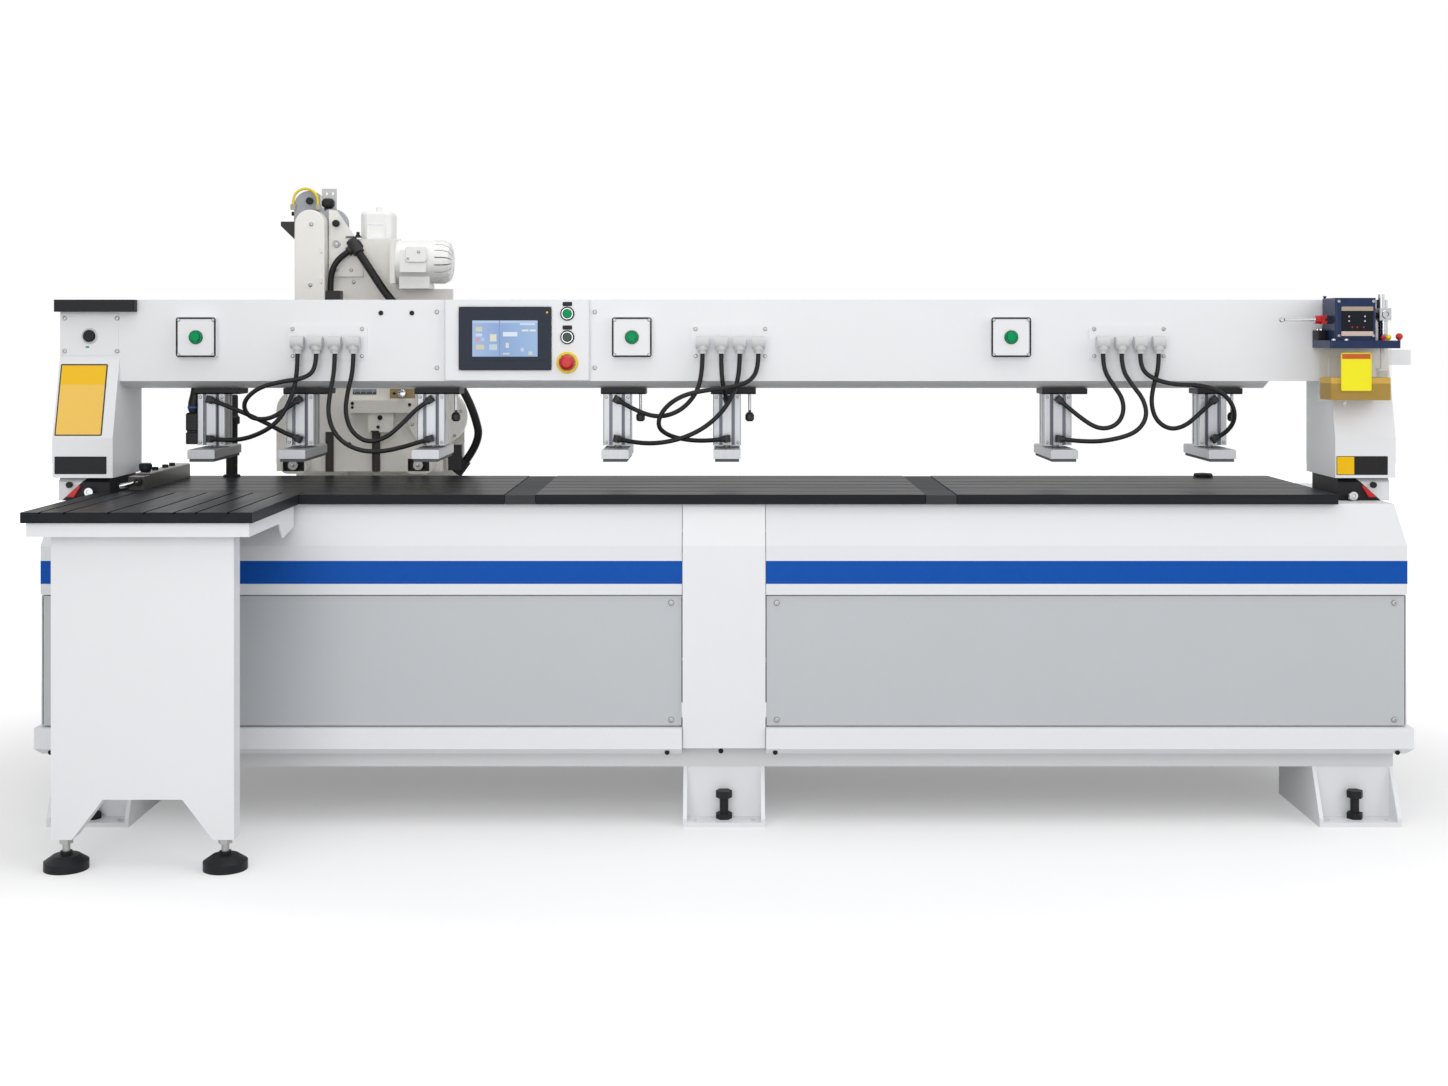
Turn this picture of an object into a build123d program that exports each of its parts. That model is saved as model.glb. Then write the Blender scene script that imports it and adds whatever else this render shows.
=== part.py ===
import os
from math import radians, tan

from build123d import *

# Side hole drilling machine for furniture boards.
# Millimetres, +X along the table to the operator's right, +Y away from the operator, +Z up from the floor.
# The origin is on the floor, in the middle of the floor anchor holes.

# Body: base, covers and skirt
body_length = 3500.0
table_depth = 606.0
table_setback = 6.0
deck_margin = 38.0
trough_depth = 300.0
deck_height = 820.0
trough_height = 640.0
foot_height = 141.0
plinth_height = 109.0
plinth_inset = 24.0
plinth_setback = 37.0
hood_slope = 106.0
hood_band = 125.0
hood_inset = 25.0
sheet = 3.0
cover_gap = 3.0
panel_recess = 6.0
panel_flange = 12.0
skirt_out = 12.0
skirt_height = 53.0
skirt_chamfer = 15.0
post_cover_width = 212.0
post_cover_proud = 3.0

# Welded tube frame
tube_size = 80.0
tube_wall = 5.0
top_tube = 60.0
guide_tube_gap = 30.0

# Feet
foot_width = 209.0
foot_length = 336.0
foot_out = 23.0
foot_plate = 12.0
foot_wall = 10.0
foot_web_setback = 62.0
foot_lip = 22.0
anchor_hole = 14.0
anchor_spread = 150.0
anchor_setback = 28.0
bolt_diameter = 22.0
bolt_head = 36.0
bolt_head_height = 18.0
bolt_rise = 54.0
bolt_nut_height = 15.0
bolt_setback = 43.0
floor_clearance = 1.0

# Table
table_thickness = 25.0
table_end_gap = 24.0
strip_count = 6
groove_width = 6.0
groove_depth = 5.0
divider_width = 78.0
divider_x = (-523.0, 557.0)
joint_gap = 1.5

# Extension table
extension_from_end = 122.0
extension_width = 537.0
extension_reach = 445.0
extension_lap = 60.0
extension_grooves = (44.0, 102.0, 204.0, 287.0, 356.0, 407.0, 481.0)
apron_height = 33.0
apron_inset = 10.0
apron_wall = 4.0
apron_bays = 3
apron_rows = 2
leg_width = 428.0
leg_thickness = 52.0
leg_inset = 45.0
leg_bottom = 75.0
leg_cut_height = 94.0
leg_cut_top = 186.0
leg_cut_bottom = 330.0
stud_spacing = 374.0
stud_diameter = 18.0
stud_nut = 28.0
stud_nut_height = 14.0
pad_diameter = 103.0
pad_height = 43.0
pad_rim = 20.0
gusset_length = 150.0
gusset_drop = 40.0

# Side stop on the table
fence_width = 42.0
fence_height = 40.0
fence_length = 354.0
fence_from_end = 1.0
fence_front = 203.0
fence_foot = 54.0
fence_foot_height = 34.0
knob_from_front = 22.0
knob_diameter = 34.0
knob_height = 24.0
knob_neck = 12.0

# Bridge: columns, beam and clamp rail
column_out = 7.0
column_width = 158.0
column_wall = 6.0
column_base_height = 60.0
column_front = 100.0
column_knee_rise = 105.0
column_shoulder_rise = 320.0
bridge_front = 156.0
bridge_back = 334.0
beam_rise = 312.0
beam_height = 215.0
cap_height = 32.0
cap_out = 8.0
cap_overlap = 46.0
cap_front = 30.0
base_margin = 12.0
outlet_length = 72.0
outlet_depth = 60.0
outlet_height = 40.0
outlet_rise = 62.0
rail_drop = 20.0
rail_slope = 50.0
rail_back_inset = 14.0
rail_short = 157.0
slot_width = 12.0
slot_depth = 12.0

# Controls on the beam
box_size = 105.0
box_depth = 20.0
box_rise = 116.0
box_from_left = 207.0
box_from_centre = -243.0
box_from_right = 842.0
clamp_button_diameter = 23.0
clamp_button_out = 11.0
button_travel = 4.0
button_depth = 12.0
running_clearance = 0.05
power_button_diameter = 30.0
power_button_out = 14.0
power_button_rise = 119.0
panel_centre = -546.5
panel_width = 383.0
panel_height = 212.0
panel_depth = 18.0
screen_width = 244.0
screen_height = 167.0
screen_left = 39.0
screen_drop = 19.0
screen_out = 6.0
screen_pocket = 8.0
screen_border = 36.0
screen_sink = 2.0
column_of_buttons = 325.0
start_drop = 37.0
stop_drop = 99.0
emergency_drop = 166.0
small_button_diameter = 22.0
small_button_out = 8.0
mushroom_diameter = 40.0
mushroom_height = 22.0

# Air fittings
gland_width = 210.0
gland_height = 92.0
gland_thickness = 4.0
gland_corner = 12.0
gland_rise = 102.0
gland_from_left = 550.0
gland_from_centre = 17.0
gland_from_right = 528.0
elbow_pitch = 49.0
elbow_count = 4
elbow_radius = 15.0
elbow_reach = 22.0
elbow_drop = 29.0
elbow_mouth = 11.0
port_reach = 16.0
port_radius = 8.5
port_nose = 16.0
port_nose_radius = 7.0
knuckle = 1.12
collar_share = 0.65
hose_diameter = 12.0
hose_sides = 8
bend_share = 0.45

# Clamps
clamps_from_left = (232.0, 469.0, 818.0)
clamps_from_centre = (-285.0, 8.0)
clamps_from_right = (709.0, 296.0)
barrel_size = 74.0
barrel_height = 136.0
barrel_front = 190.0
barrel_groove = 7.0
barrel_rib = 12.0
mount_width = 120.0
mount_depth = 90.0
mount_height = 16.0
mount_shift = 17.0
rod_diameter = 20.0
rod_in_barrel = 96.0
foot_gap = 6.0
clamp_foot_width = 71.0
clamp_foot_length = 260.0
clamp_foot_height = 24.0
clamp_pad_height = 8.0
clamp_pad_inset = 4.0
port_from_top = 14.0
port_from_bottom = 18.0
screw_offset = 61.0
screw_diameter = 8.0
screw_length = 50.0
screw_knob = 24.0

# Oil lubricator on the right column
pump_width = 105.0
pump_height = 110.0
pump_depth = 106.0
pump_from_end = 66.5
pump_rise = 108.0
pump_standoff = 12.0
pump_ear = 5.0
flange_width = 181.0
flange_depth = 146.0
flange_height = 20.0
flange_shift = 15.5
tank_width = 163.0
tank_height = 138.0
tank_depth = 99.0
tank_setback = 10.0
tank_shift = -7.0
tank_wall = 4.0
lever_length = 118.0
lever_radius = 4.0
lever_ball = 7.0
lever_collar = 11.0
lever_collar_length = 26.0
lever_rise = 54.0
lever_gap = 0.5
stack_gap = 38.0
stack_nut = 22.0
stack_nut_height = 16.0
stack_pipe = 16.0
stack_block = 30.0
stack_block_rise = 52.0
stack_block_height = 32.0
stack_cap = 24.0
stack_cap_height = 22.0
stack_button = 16.0
stack_button_height = 14.0
stack_cap_shift = 6.0
plug_row = 60.0
plug_stations = (-22.7, -8.8, 18.7)
plug_balls = (12.0, 14.0, 18.0)
plug_neck = 8.0
plug_rise = 1.0

# Drilling head
rail_width = 20.0
rail_height = 23.0
rail_end_gap = 60.0
block_length = 70.0
block_width = 46.0
block_skirt = 12.0
slide_clearance = 0.5
screw_drive_diameter = 25.0
bearing_block = 60.0
nut_length = 80.0
head_from_left = 549.0
saddle_length = 590.0
saddle_thickness = 22.0
upright_width = 490.0
upright_thickness = 28.0
upright_shoulder = 60.5
upright_rear_inset = 110.0
upright_neck = 118.0
upright_neck_height = 150.0
upright_flare = 210.0
z_rail_spacing = 190.0
z_rail_size = 20.0
slide_width = 470.0
slide_thickness = 26.0
slide_above_spindle = 27.0
slide_height = 490.0
slide_arm_height = 150.0
slide_arm_reach = 78.0
slide_gap = 8.0
shoe_width = 44.0
shoe_height = 60.0
motor_plate = 14.0
pulley_plate_radius = 45.0
lift_motor_width = 98.0
lift_motor_height = 146.0
lift_motor_corner = 24.0
nub_radius = 8.0
nub_height = 14.0
cover_width = 89.0
cover_depth = 56.0
cover_above_slide = 234.0
cover_from_bottom = 100.0
cover_from_head = -179.5
motor_diameter = 130.0
motor_length = 110.0
cowl_length = 52.0
motor_above_slide = 80.0
unit_width = 490.0
unit_height = 240.0
unit_thickness = 25.0
unit_below_spindle = 23.0
unit_left = 270.0
unit_corner = 60.0
unit_gap = 61.0
feed_rod_diameter = 25.0
feed_rod_spacing = 330.0
feed_rod_length = 107.0
feed_rod_rise = 67.0
bush_diameter = 50.0
bush_length = 51.0
spindle_spacing = 365.0
spindle_shift = -24.0
spindle_rise = 28.0
nose_width = 78.0
nose_height = 52.0
nose_length = 55.0
nose_corner = 20.0
spindle_diameter = 24.0
chuck_diameter = 28.0
chuck_length = 10.0
bit_diameter = 8.0
bit_length = 16.0
disc_diameter = 170.0
disc_depth = 15.0
disc_x = 205.0
disc_rise = 137.0

# Brackets, boxes and cables on the head
tie_plate_thickness = 10.0
tie_plate_foot = (-95.0, -30.0)
tie_plate_bottom = 37.0
tie_plate_shoulder = 118.0
tie_plate_top = 237.0
wedge_reach = 40.0
wedge_height = 52.0
flag_thickness = 6.0
flag_width = 44.0
flag_from_head = -138.0
flag_above_arm = 152.0
flag_hole = 8.0
box_lap = 10.0
cable_box_width = 46.0
cable_box_depth = 48.0
cable_box_drop = 50.0
cable_box_height = 75.0
cable_box_strap = 12.0
relay_box_width = 42.0
relay_box_height = 70.0
relay_box_below = 6.0
pedestal_width = 90.0
cowl_slots = 18
cowl_slot_width = 3.5
flange_out = 4.0
flange_plate = 14.0
flange_space = 11.0
crossbar_x = (-49.0, 142.0)
crossbar_height = 37.0
crossbar_below = 29.0
crossbar_depth = 30.0
gauge_box_x = (5.0, 79.0)
gauge_box_height = 57.0
gauge_box_depth = 25.0
pointer_block_x = (69.0, 138.0)
pointer_block_height = 34.0
pointer_block_depth = 25.0
guard_bar_diameter = 24.0
guard_bars = (-112.0, 25.0)
nose_rim = 8.0
nose_pocket = 20.0
cable_diameter = 24.0
relay_cable_diameter = 18.0
air_line_diameter = 8.0
air_line_bend = 37.0
air_line_lead = 25.0
air_line_left = -240.0
air_line_standoff = 6.0
air_boss_height = 16.0
gland_wall = 5.0
gland_length = 46.0

# Places worked out from the sizes above
body_depth = table_setback + table_depth + deck_margin + trough_depth
front = -body_depth / 2
rear = body_depth / 2
half_length = body_length / 2
deck_back = front + table_setback + table_depth + deck_margin
hood_shoulder = deck_height - hood_slope
hood_bottom = hood_shoulder - hood_band
skirt_top = foot_height + plinth_height
skirt_bottom = skirt_top - skirt_height
table_top = deck_height + table_thickness
plinth_x = half_length - plinth_inset
plinth_front = front + plinth_setback
plinth_rear = rear - plinth_setback
column_bottom = deck_height + column_base_height
column_knee = column_bottom + column_knee_rise
column_shoulder = column_bottom + column_shoulder_rise
beam_bottom = deck_height + beam_rise
beam_top = beam_bottom + beam_height
box_z = beam_bottom + box_rise
gland_z = beam_bottom + gland_rise
outlet_z = beam_bottom + outlet_rise
power_button_z = beam_bottom + power_button_rise
pump_bottom = beam_bottom + pump_rise
spindle_z = table_top + spindle_rise
unit_bottom = spindle_z - unit_below_spindle
feed_rod_z = spindle_z + feed_rod_rise
disc_z = spindle_z + disc_rise
slide_bottom = spindle_z + slide_above_spindle
slide_top = slide_bottom + slide_height
motor_z = slide_top + motor_above_slide
cover_top = slide_top + cover_above_slide
cover_bottom = slide_bottom + cover_from_bottom
column_outer = half_length + column_out
column_inner = column_outer - column_width
table_end = column_inner - table_end_gap
beam_face = front + bridge_front
rail_bottom = beam_bottom - rail_drop
mount_bottom = rail_bottom - mount_height
barrel_bottom = mount_bottom - barrel_height
barrel_y = front + barrel_front + barrel_size / 2
left_clamps = [d - column_inner for d in clamps_from_left]
middle_clamps = list(clamps_from_centre)
right_clamps = [column_inner - d for d in clamps_from_right]
all_clamps = left_clamps + middle_clamps + right_clamps
box_stations = [box_from_left - column_inner, box_from_centre, column_inner - box_from_right]
gland_stations = [gland_from_left - column_inner, gland_from_centre, column_inner - gland_from_right]
extension_left = extension_from_end - half_length
extension_right = extension_left + extension_width
extension_centre = extension_left + extension_width / 2
extension_front = front - extension_reach
head_x = head_from_left - column_inner
power_x = -(column_inner + column_outer) / 2


def block(x, y, z, mode=Mode.ADD):
    # Rectangular block between three spans
    with Locations(((x[0] + x[1]) / 2, (y[0] + y[1]) / 2, (z[0] + z[1]) / 2)):
        Box(x[1] - x[0], y[1] - y[0], z[1] - z[0], mode=mode)


def tube(x, y, z, along):
    # Rectangular tube, open at both ends of the axis that it runs along
    spans = [x, y, z]
    block(*spans)
    bore = [(span[0] + tube_wall, span[1] - tube_wall) for span in spans]
    bore[along] = spans[along]
    block(*bore, mode=Mode.SUBTRACT)


def around(centre, size):
    return (centre - size / 2, centre + size / 2)


def rod(start, direction, length, radius, mode=Mode.ADD):
    # Round bar from a point, along a direction
    with BuildSketch(Plane(origin=start, z_dir=direction)) as section:
        Circle(radius)
    extrude(section.sketch, amount=length, mode=mode)


def hex_bar(start, direction, length, across_flats):
    with BuildSketch(Plane(origin=start, z_dir=direction)) as section:
        RegularPolygon(across_flats / 2, 6, major_radius=False)
    extrude(section.sketch, amount=length)


def turned(origin, direction, profile):
    # Turned piece: a profile of (radius, distance along the axis) that starts and ends on the axis
    across = Plane(origin=origin, z_dir=direction).x_dir
    with BuildSketch(Plane(origin=origin, x_dir=across, z_dir=across.cross(Vector(*direction)))) as section:
        with BuildLine():
            Polyline(*profile, close=True)
        make_face()
    revolve(section.sketch, axis=Axis(origin, direction))


toward = (0, -1, 0)


def button_hole(x, face_y, z, diameter):
    depth = button_depth + button_travel + running_clearance
    rod((x, face_y, z), (0, 1, 0), depth, diameter / 2 + running_clearance, mode=Mode.SUBTRACT)


def push_button(x, face_y, z, diameter, out):
    # Round button with a softened rim, standing out of the face that it travels into
    rod((x, face_y + button_depth, z), toward, button_depth + out, diameter / 2)


# Welded frame: posts, long rails and cross rails butt against each other
post_stations = (-plinth_x + tube_size / 2, 0.0, plinth_x - tube_size / 2)
front_row = plinth_front + tube_size / 2
middle_row = deck_back - sheet - cover_gap - tube_size / 2
rear_row = plinth_rear - tube_size / 2
frame_top = deck_height - sheet
top_rail_end = half_length - hood_inset - sheet - 2 * cover_gap
guide_bottom = trough_height - top_tube
guide_rows = (deck_back + guide_tube_gap + top_tube / 2, plinth_rear - top_tube / 2)

with BuildPart() as frame_posts:
    for post_x in post_stations:
        for post_y, post_top in (
            (front_row, frame_top - top_tube),
            (middle_row, frame_top - top_tube),
            (rear_row, guide_bottom),
        ):
            tube(around(post_x, tube_size), around(post_y, tube_size), (skirt_top, post_top), 2)

with BuildPart() as frame_long_rails:
    for rail_y in (front_row, rear_row):
        tube((-plinth_x, plinth_x), around(rail_y, tube_size), (foot_height, skirt_top), 0)
    for rail_y in (front_row, middle_row):
        tube((-top_rail_end, top_rail_end), around(rail_y, tube_size), (frame_top - top_tube, frame_top), 0)
    for rail_y in guide_rows:
        tube((-plinth_x, plinth_x), around(rail_y, top_tube), (guide_bottom, trough_height), 0)

with BuildPart() as frame_cross_rails:
    for rail_x in post_stations:
        low_span = (front_row + tube_size / 2, rear_row - tube_size / 2)
        tube(around(rail_x, tube_size), low_span, (foot_height, skirt_top), 1)
        top_span = (front_row + tube_size / 2, middle_row - tube_size / 2)
        top_x = max(-top_rail_end + tube_size / 2, min(rail_x, top_rail_end - tube_size / 2))
        tube(around(top_x, tube_size), top_span, (frame_top - top_tube, frame_top), 1)
        guide_span = (middle_row + tube_size / 2, rear_row - tube_size / 2)
        tube(around(rail_x, tube_size), guide_span, (guide_bottom - top_tube, guide_bottom), 1)

# Feet: base plate, sloped side plates and webs, welded under the lower rails
foot_x = half_length - plinth_inset - foot_width / 2
foot_front = front - foot_out
foot_rear = foot_front + foot_length
foot_slope_top = foot_front + foot_out + plinth_setback

with BuildPart() as foot:
    block(around(0, foot_width), (foot_front, foot_rear), (0, foot_plate))
    with BuildSketch(Plane.YZ.offset(-foot_width / 2)):
        with BuildLine():
            Polyline(
                (foot_front, foot_plate),
                (foot_front, foot_lip),
                (foot_slope_top, foot_height),
                (foot_rear, foot_height),
                (foot_rear, foot_plate),
                close=True,
            )
        make_face()
    extrude(amount=foot_wall)
    mirror(about=Plane.YZ)
    web_front = foot_front + foot_web_setback
    block(around(0, foot_width), (web_front, web_front + foot_wall), (foot_plate, foot_height))
    block(around(0, foot_width), (foot_rear - foot_wall, foot_rear), (foot_plate, foot_height))
    with Locations(
        (-anchor_spread / 2, foot_front + anchor_setback, foot_plate),
        (anchor_spread / 2, foot_front + anchor_setback, foot_plate),
    ):
        Hole(anchor_hole / 2, foot_plate)
    with Locations((0, foot_front + bolt_setback, foot_plate)):
        Hole(bolt_diameter / 2 + running_clearance, foot_plate)

with BuildPart() as foot_brackets:
    with Locations((-foot_x, 0, 0), (0, 0, 0), (foot_x, 0, 0)):
        add(foot.part)
    mirror(about=Plane.XZ)

with BuildPart() as foot_bolts:
    for bolt_x in (-foot_x, 0.0, foot_x):
        bolt_y = foot_front + bolt_setback
        shank_length = foot_plate + bolt_rise - floor_clearance
        rod((bolt_x, bolt_y, floor_clearance), (0, 0, 1), shank_length, bolt_diameter / 2)
        hex_bar((bolt_x, bolt_y, foot_plate), (0, 0, 1), bolt_nut_height, bolt_head)
        hex_bar((bolt_x, bolt_y, foot_plate + bolt_rise), (0, 0, 1), bolt_head_height, bolt_head)
    mirror(about=Plane.XZ)


# Upper hoods: bent sheet with a leaning upper part, left and right halves notched for the centre post
def hood_solid(wall, mode=Mode.ADD):
    # Upright band and leaning part, shrunk by a wall on every side but the open bottom and inner end
    x_inner = cover_gap / 2
    y_back = deck_back - wall
    end_low = half_length - wall
    end_high = half_length - hood_inset - wall
    y_low = front + wall
    y_high = front + hood_inset + wall
    block((x_inner, end_low), (y_low, y_back), (hood_bottom, hood_shoulder), mode=mode)
    with BuildSketch(Plane.XY.offset(hood_shoulder)) as low:
        with Locations(((x_inner + end_low) / 2, (y_low + y_back) / 2)):
            Rectangle(end_low - x_inner, y_back - y_low)
    with BuildSketch(Plane.XY.offset(deck_height - wall)) as high:
        with Locations(((x_inner + end_high) / 2, (y_high + y_back) / 2)):
            Rectangle(end_high - x_inner, y_back - y_high)
    loft([low.sketch, high.sketch], ruled=True, mode=mode)


post_back = plinth_front - cover_gap
post_slot = post_cover_width / 2 + cover_gap / 2
with BuildPart() as upper_hoods:
    hood_solid(0)
    hood_solid(sheet, Mode.SUBTRACT)
    block((0, post_slot), (front, post_back + cover_gap), (hood_bottom, deck_height), mode=Mode.SUBTRACT)
    mirror(about=Plane.YZ)

# Grey service panels: shallow trays, screwed to the frame
with BuildPart() as grey_panels:
    panel_x = (post_cover_width / 2 + cover_gap, half_length - panel_recess)
    panel_y = (front + panel_recess, front + panel_recess + panel_flange)
    panel_z = (skirt_top + cover_gap, hood_bottom - cover_gap)
    block(panel_x, panel_y, panel_z)
    block(
        (panel_x[0] + sheet, panel_x[1] - sheet),
        (panel_y[0] + sheet, panel_y[1]),
        (panel_z[0] + sheet, panel_z[1] - sheet),
        mode=Mode.SUBTRACT,
    )
    mirror(about=Plane.YZ)


# Centre post cover: a channel that follows the hood's slope
def post_outline(wall):
    face_y = front - post_cover_proud + wall
    top_y = face_y + hood_inset
    return [
        (face_y, skirt_bottom),
        (face_y, hood_shoulder),
        (top_y, deck_height),
        (post_back, deck_height),
        (post_back, skirt_bottom),
    ]


with BuildPart() as centre_post:
    with BuildSketch(Plane.YZ):
        with BuildLine():
            Polyline(*post_outline(0), close=True)
        make_face()
    extrude(amount=post_cover_width / 2, both=True)
    with BuildSketch(Plane.YZ):
        with BuildLine():
            Polyline(*post_outline(sheet), close=True)
        make_face()
    extrude(amount=post_cover_width / 2 - sheet, both=True, mode=Mode.SUBTRACT)


# Lower skirt: hollow sheet moulding round the plinth, with a chamfered underside
def skirt_solid(wall, mode=Mode.ADD):
    reach_x = 2 * (half_length + skirt_out - wall)
    reach_y = 2 * (rear + skirt_out - wall)
    with BuildSketch(Plane.XY.offset(skirt_bottom)) as band:
        Rectangle(reach_x, reach_y)
    extrude(band.sketch, amount=skirt_top - wall - skirt_bottom, mode=mode)
    with BuildSketch(Plane.XY.offset(skirt_bottom - skirt_chamfer + wall)) as underside:
        Rectangle(reach_x - 2 * skirt_chamfer, reach_y - 2 * skirt_chamfer)
    loft([underside.sketch, band.sketch], ruled=True, mode=mode)


with BuildPart() as lower_skirt:
    skirt_solid(0)
    skirt_solid(sheet, Mode.SUBTRACT)
    skirt_z = (skirt_bottom - skirt_chamfer, skirt_top)
    block((-plinth_x, plinth_x), (plinth_front, plinth_rear), skirt_z, mode=Mode.SUBTRACT)
    block((-post_slot, post_slot), (front - 2 * skirt_out, plinth_front), skirt_z, mode=Mode.SUBTRACT)

# End and rear covers: flat sheets that close the body below the hoods
with BuildPart() as body_covers:
    with BuildSketch(Plane.YZ.offset(half_length - sheet)):
        with BuildLine():
            Polyline(
                (front + panel_recess, skirt_top + cover_gap),
                (front + panel_recess, hood_bottom - cover_gap),
                (deck_back + cover_gap, hood_bottom - cover_gap),
                (deck_back + cover_gap, trough_height),
                (rear, trough_height),
                (rear, skirt_top + cover_gap),
                close=True,
            )
        make_face()
    extrude(amount=sheet)
    mirror(about=Plane.YZ)
    rear_half = half_length - sheet - cover_gap
    block((-rear_half, rear_half), (rear - sheet, rear), (skirt_top + cover_gap, trough_height))

# Table: grooved plates in three lengths, joined by two plain plates
table_front = front + table_setback
table_back = table_front + table_depth
strip_pitch = table_depth / strip_count
section_ends = [-table_end]
for divider in divider_x:
    section_ends += [divider - divider_width / 2 - joint_gap, divider + divider_width / 2 + joint_gap]
section_ends.append(table_end)

with BuildPart() as table_plates:
    for start, end in zip(section_ends[::2], section_ends[1::2]):
        with BuildSketch(Plane.YZ.offset(start)):
            with Locations(((table_front + table_back) / 2, deck_height + table_thickness / 2)):
                Rectangle(table_depth, table_thickness)
            groove_rows = [table_front + strip_pitch * (n + 1) for n in range(strip_count - 1)]
            with Locations([(row, table_top - groove_depth / 2) for row in groove_rows]):
                Rectangle(groove_width, groove_depth, mode=Mode.SUBTRACT)
        extrude(amount=end - start)
    for divider in divider_x:
        block(around(divider, divider_width), (table_front, table_back), (deck_height, table_top - joint_gap))
    lap_edge = front + extension_lap + joint_gap
    notch_x = (-table_end, extension_right + joint_gap)
    block(notch_x, (table_front, lap_edge), (deck_height, table_top), mode=Mode.SUBTRACT)

# Extension table: grooved top, sheet frame with ribs, hollow leg panel, levelling feet
extension_back = front + extension_lap
with BuildPart() as extension_top:
    with BuildSketch(Plane.XZ.offset(-extension_back)):
        with Locations((extension_centre, deck_height + table_thickness / 2)):
            Rectangle(extension_width, table_thickness)
        with Locations([(extension_left + x, table_top - groove_depth / 2) for x in extension_grooves]):
            Rectangle(groove_width, groove_depth, mode=Mode.SUBTRACT)
    extrude(amount=extension_back - extension_front)

apron_bottom = deck_height - apron_height
apron_x = (extension_left + apron_inset, extension_right - apron_inset)
apron_y = (extension_front + apron_inset, front - joint_gap)
with BuildPart() as extension_frame:
    block(apron_x, apron_y, (apron_bottom, deck_height))
    bay_pitch = (apron_x[1] - apron_x[0] - apron_wall) / apron_bays
    row_pitch = (apron_y[1] - apron_y[0] - apron_wall) / apron_rows
    apron_middle = ((apron_x[0] + apron_x[1]) / 2, (apron_y[0] + apron_y[1]) / 2)
    with Locations((*apron_middle, deck_height - apron_height / 2)):
        with GridLocations(bay_pitch, row_pitch, apron_bays, apron_rows):
            Box(bay_pitch - apron_wall, row_pitch - apron_wall, apron_height, mode=Mode.SUBTRACT)
    with BuildSketch(Plane.YZ.offset(apron_x[1] - apron_wall)):
        with BuildLine():
            Polyline(
                (apron_y[1] - gusset_length, apron_bottom),
                (apron_y[1] - gusset_length * 0.75, apron_bottom - gusset_drop),
                (apron_y[1], apron_bottom - gusset_drop * 0.6),
                (apron_y[1], apron_bottom),
                close=True,
            )
        make_face()
    extrude(amount=apron_wall)

leg_front = extension_front + leg_inset
leg_x = extension_centre


def leg_outline(wall):
    half = leg_width / 2 - wall
    cut_low = leg_cut_bottom / 2 + wall
    cut_high = leg_cut_top / 2 + wall / 2
    return [
        (leg_x - half, leg_bottom + wall),
        (leg_x - half, apron_bottom),
        (leg_x + half, apron_bottom),
        (leg_x + half, leg_bottom + wall),
        (leg_x + cut_low, leg_bottom + wall),
        (leg_x + cut_high, leg_bottom + leg_cut_height + wall),
        (leg_x - cut_high, leg_bottom + leg_cut_height + wall),
        (leg_x - cut_low, leg_bottom + wall),
    ]


with BuildPart() as extension_leg:
    with BuildSketch(Plane.XZ.offset(-leg_front)):
        with BuildLine():
            Polyline(*leg_outline(0), close=True)
        make_face()
    extrude(amount=-leg_thickness)
    with BuildSketch(Plane.XZ.offset(-leg_front - sheet)):
        with BuildLine():
            Polyline(*leg_outline(sheet), close=True)
        make_face()
    extrude(amount=-(leg_thickness - 2 * sheet), mode=Mode.SUBTRACT)
    leg_middle = leg_front + leg_thickness / 2
    with Locations([(leg_x + side * stud_spacing / 2, leg_middle, leg_bottom + sheet) for side in (-1, 1)]):
        Hole(stud_diameter / 2 + running_clearance, sheet)

with BuildPart() as levelling_studs:
    for side in (-1, 1):
        stud_x = leg_x + side * stud_spacing / 2
        stud_bottom = pad_height
        stud_length = leg_bottom - stud_bottom + stud_nut
        rod((stud_x, leg_middle, stud_bottom), (0, 0, 1), stud_length, stud_diameter / 2)
        nut_bottom = leg_bottom - stud_nut_height
        hex_bar((stud_x, leg_middle, nut_bottom), (0, 0, 1), stud_nut_height, stud_nut)
        hex_bar((stud_x, leg_middle, leg_bottom + sheet), (0, 0, 1), stud_nut_height, stud_nut)

with BuildPart() as levelling_pads:
    for side in (-1, 1):
        pad_x = leg_x + side * stud_spacing / 2
        pad_profile = [
            (0, 0),
            (pad_diameter / 2, 0),
            (pad_diameter / 2, pad_rim),
            (pad_diameter * 0.3, pad_height * 0.8),
            (stud_nut / 2, pad_height * 0.85),
            (stud_nut / 2, pad_height),
            (0, pad_height),
        ]
        turned((pad_x, leg_middle, 0), (0, 0, 1), pad_profile)

# Side stop: a bar along the left end of the table, with a low foot before it and a hand knob on its front end
fence_x = (-table_end + fence_from_end, -table_end + fence_from_end + fence_width)
fence_start = front + fence_front
fence_mid = (fence_x[0] + fence_x[1]) / 2
fence_top = table_top + fence_height
knob_y = fence_start + knob_from_front
with BuildPart() as stop_fence:
    block(fence_x, (fence_start, fence_start + fence_length), (table_top, fence_top))
    chamfer(stop_fence.edges().filter_by(Axis.Y).group_by(Axis.Z)[-1], fence_height / 12)
    block(fence_x, (fence_start - fence_foot, fence_start), (table_top, table_top + fence_foot_height))
    with Locations((fence_mid, knob_y, fence_top)):
        Hole(knob_neck / 2 + running_clearance, fence_height - groove_depth)

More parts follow.
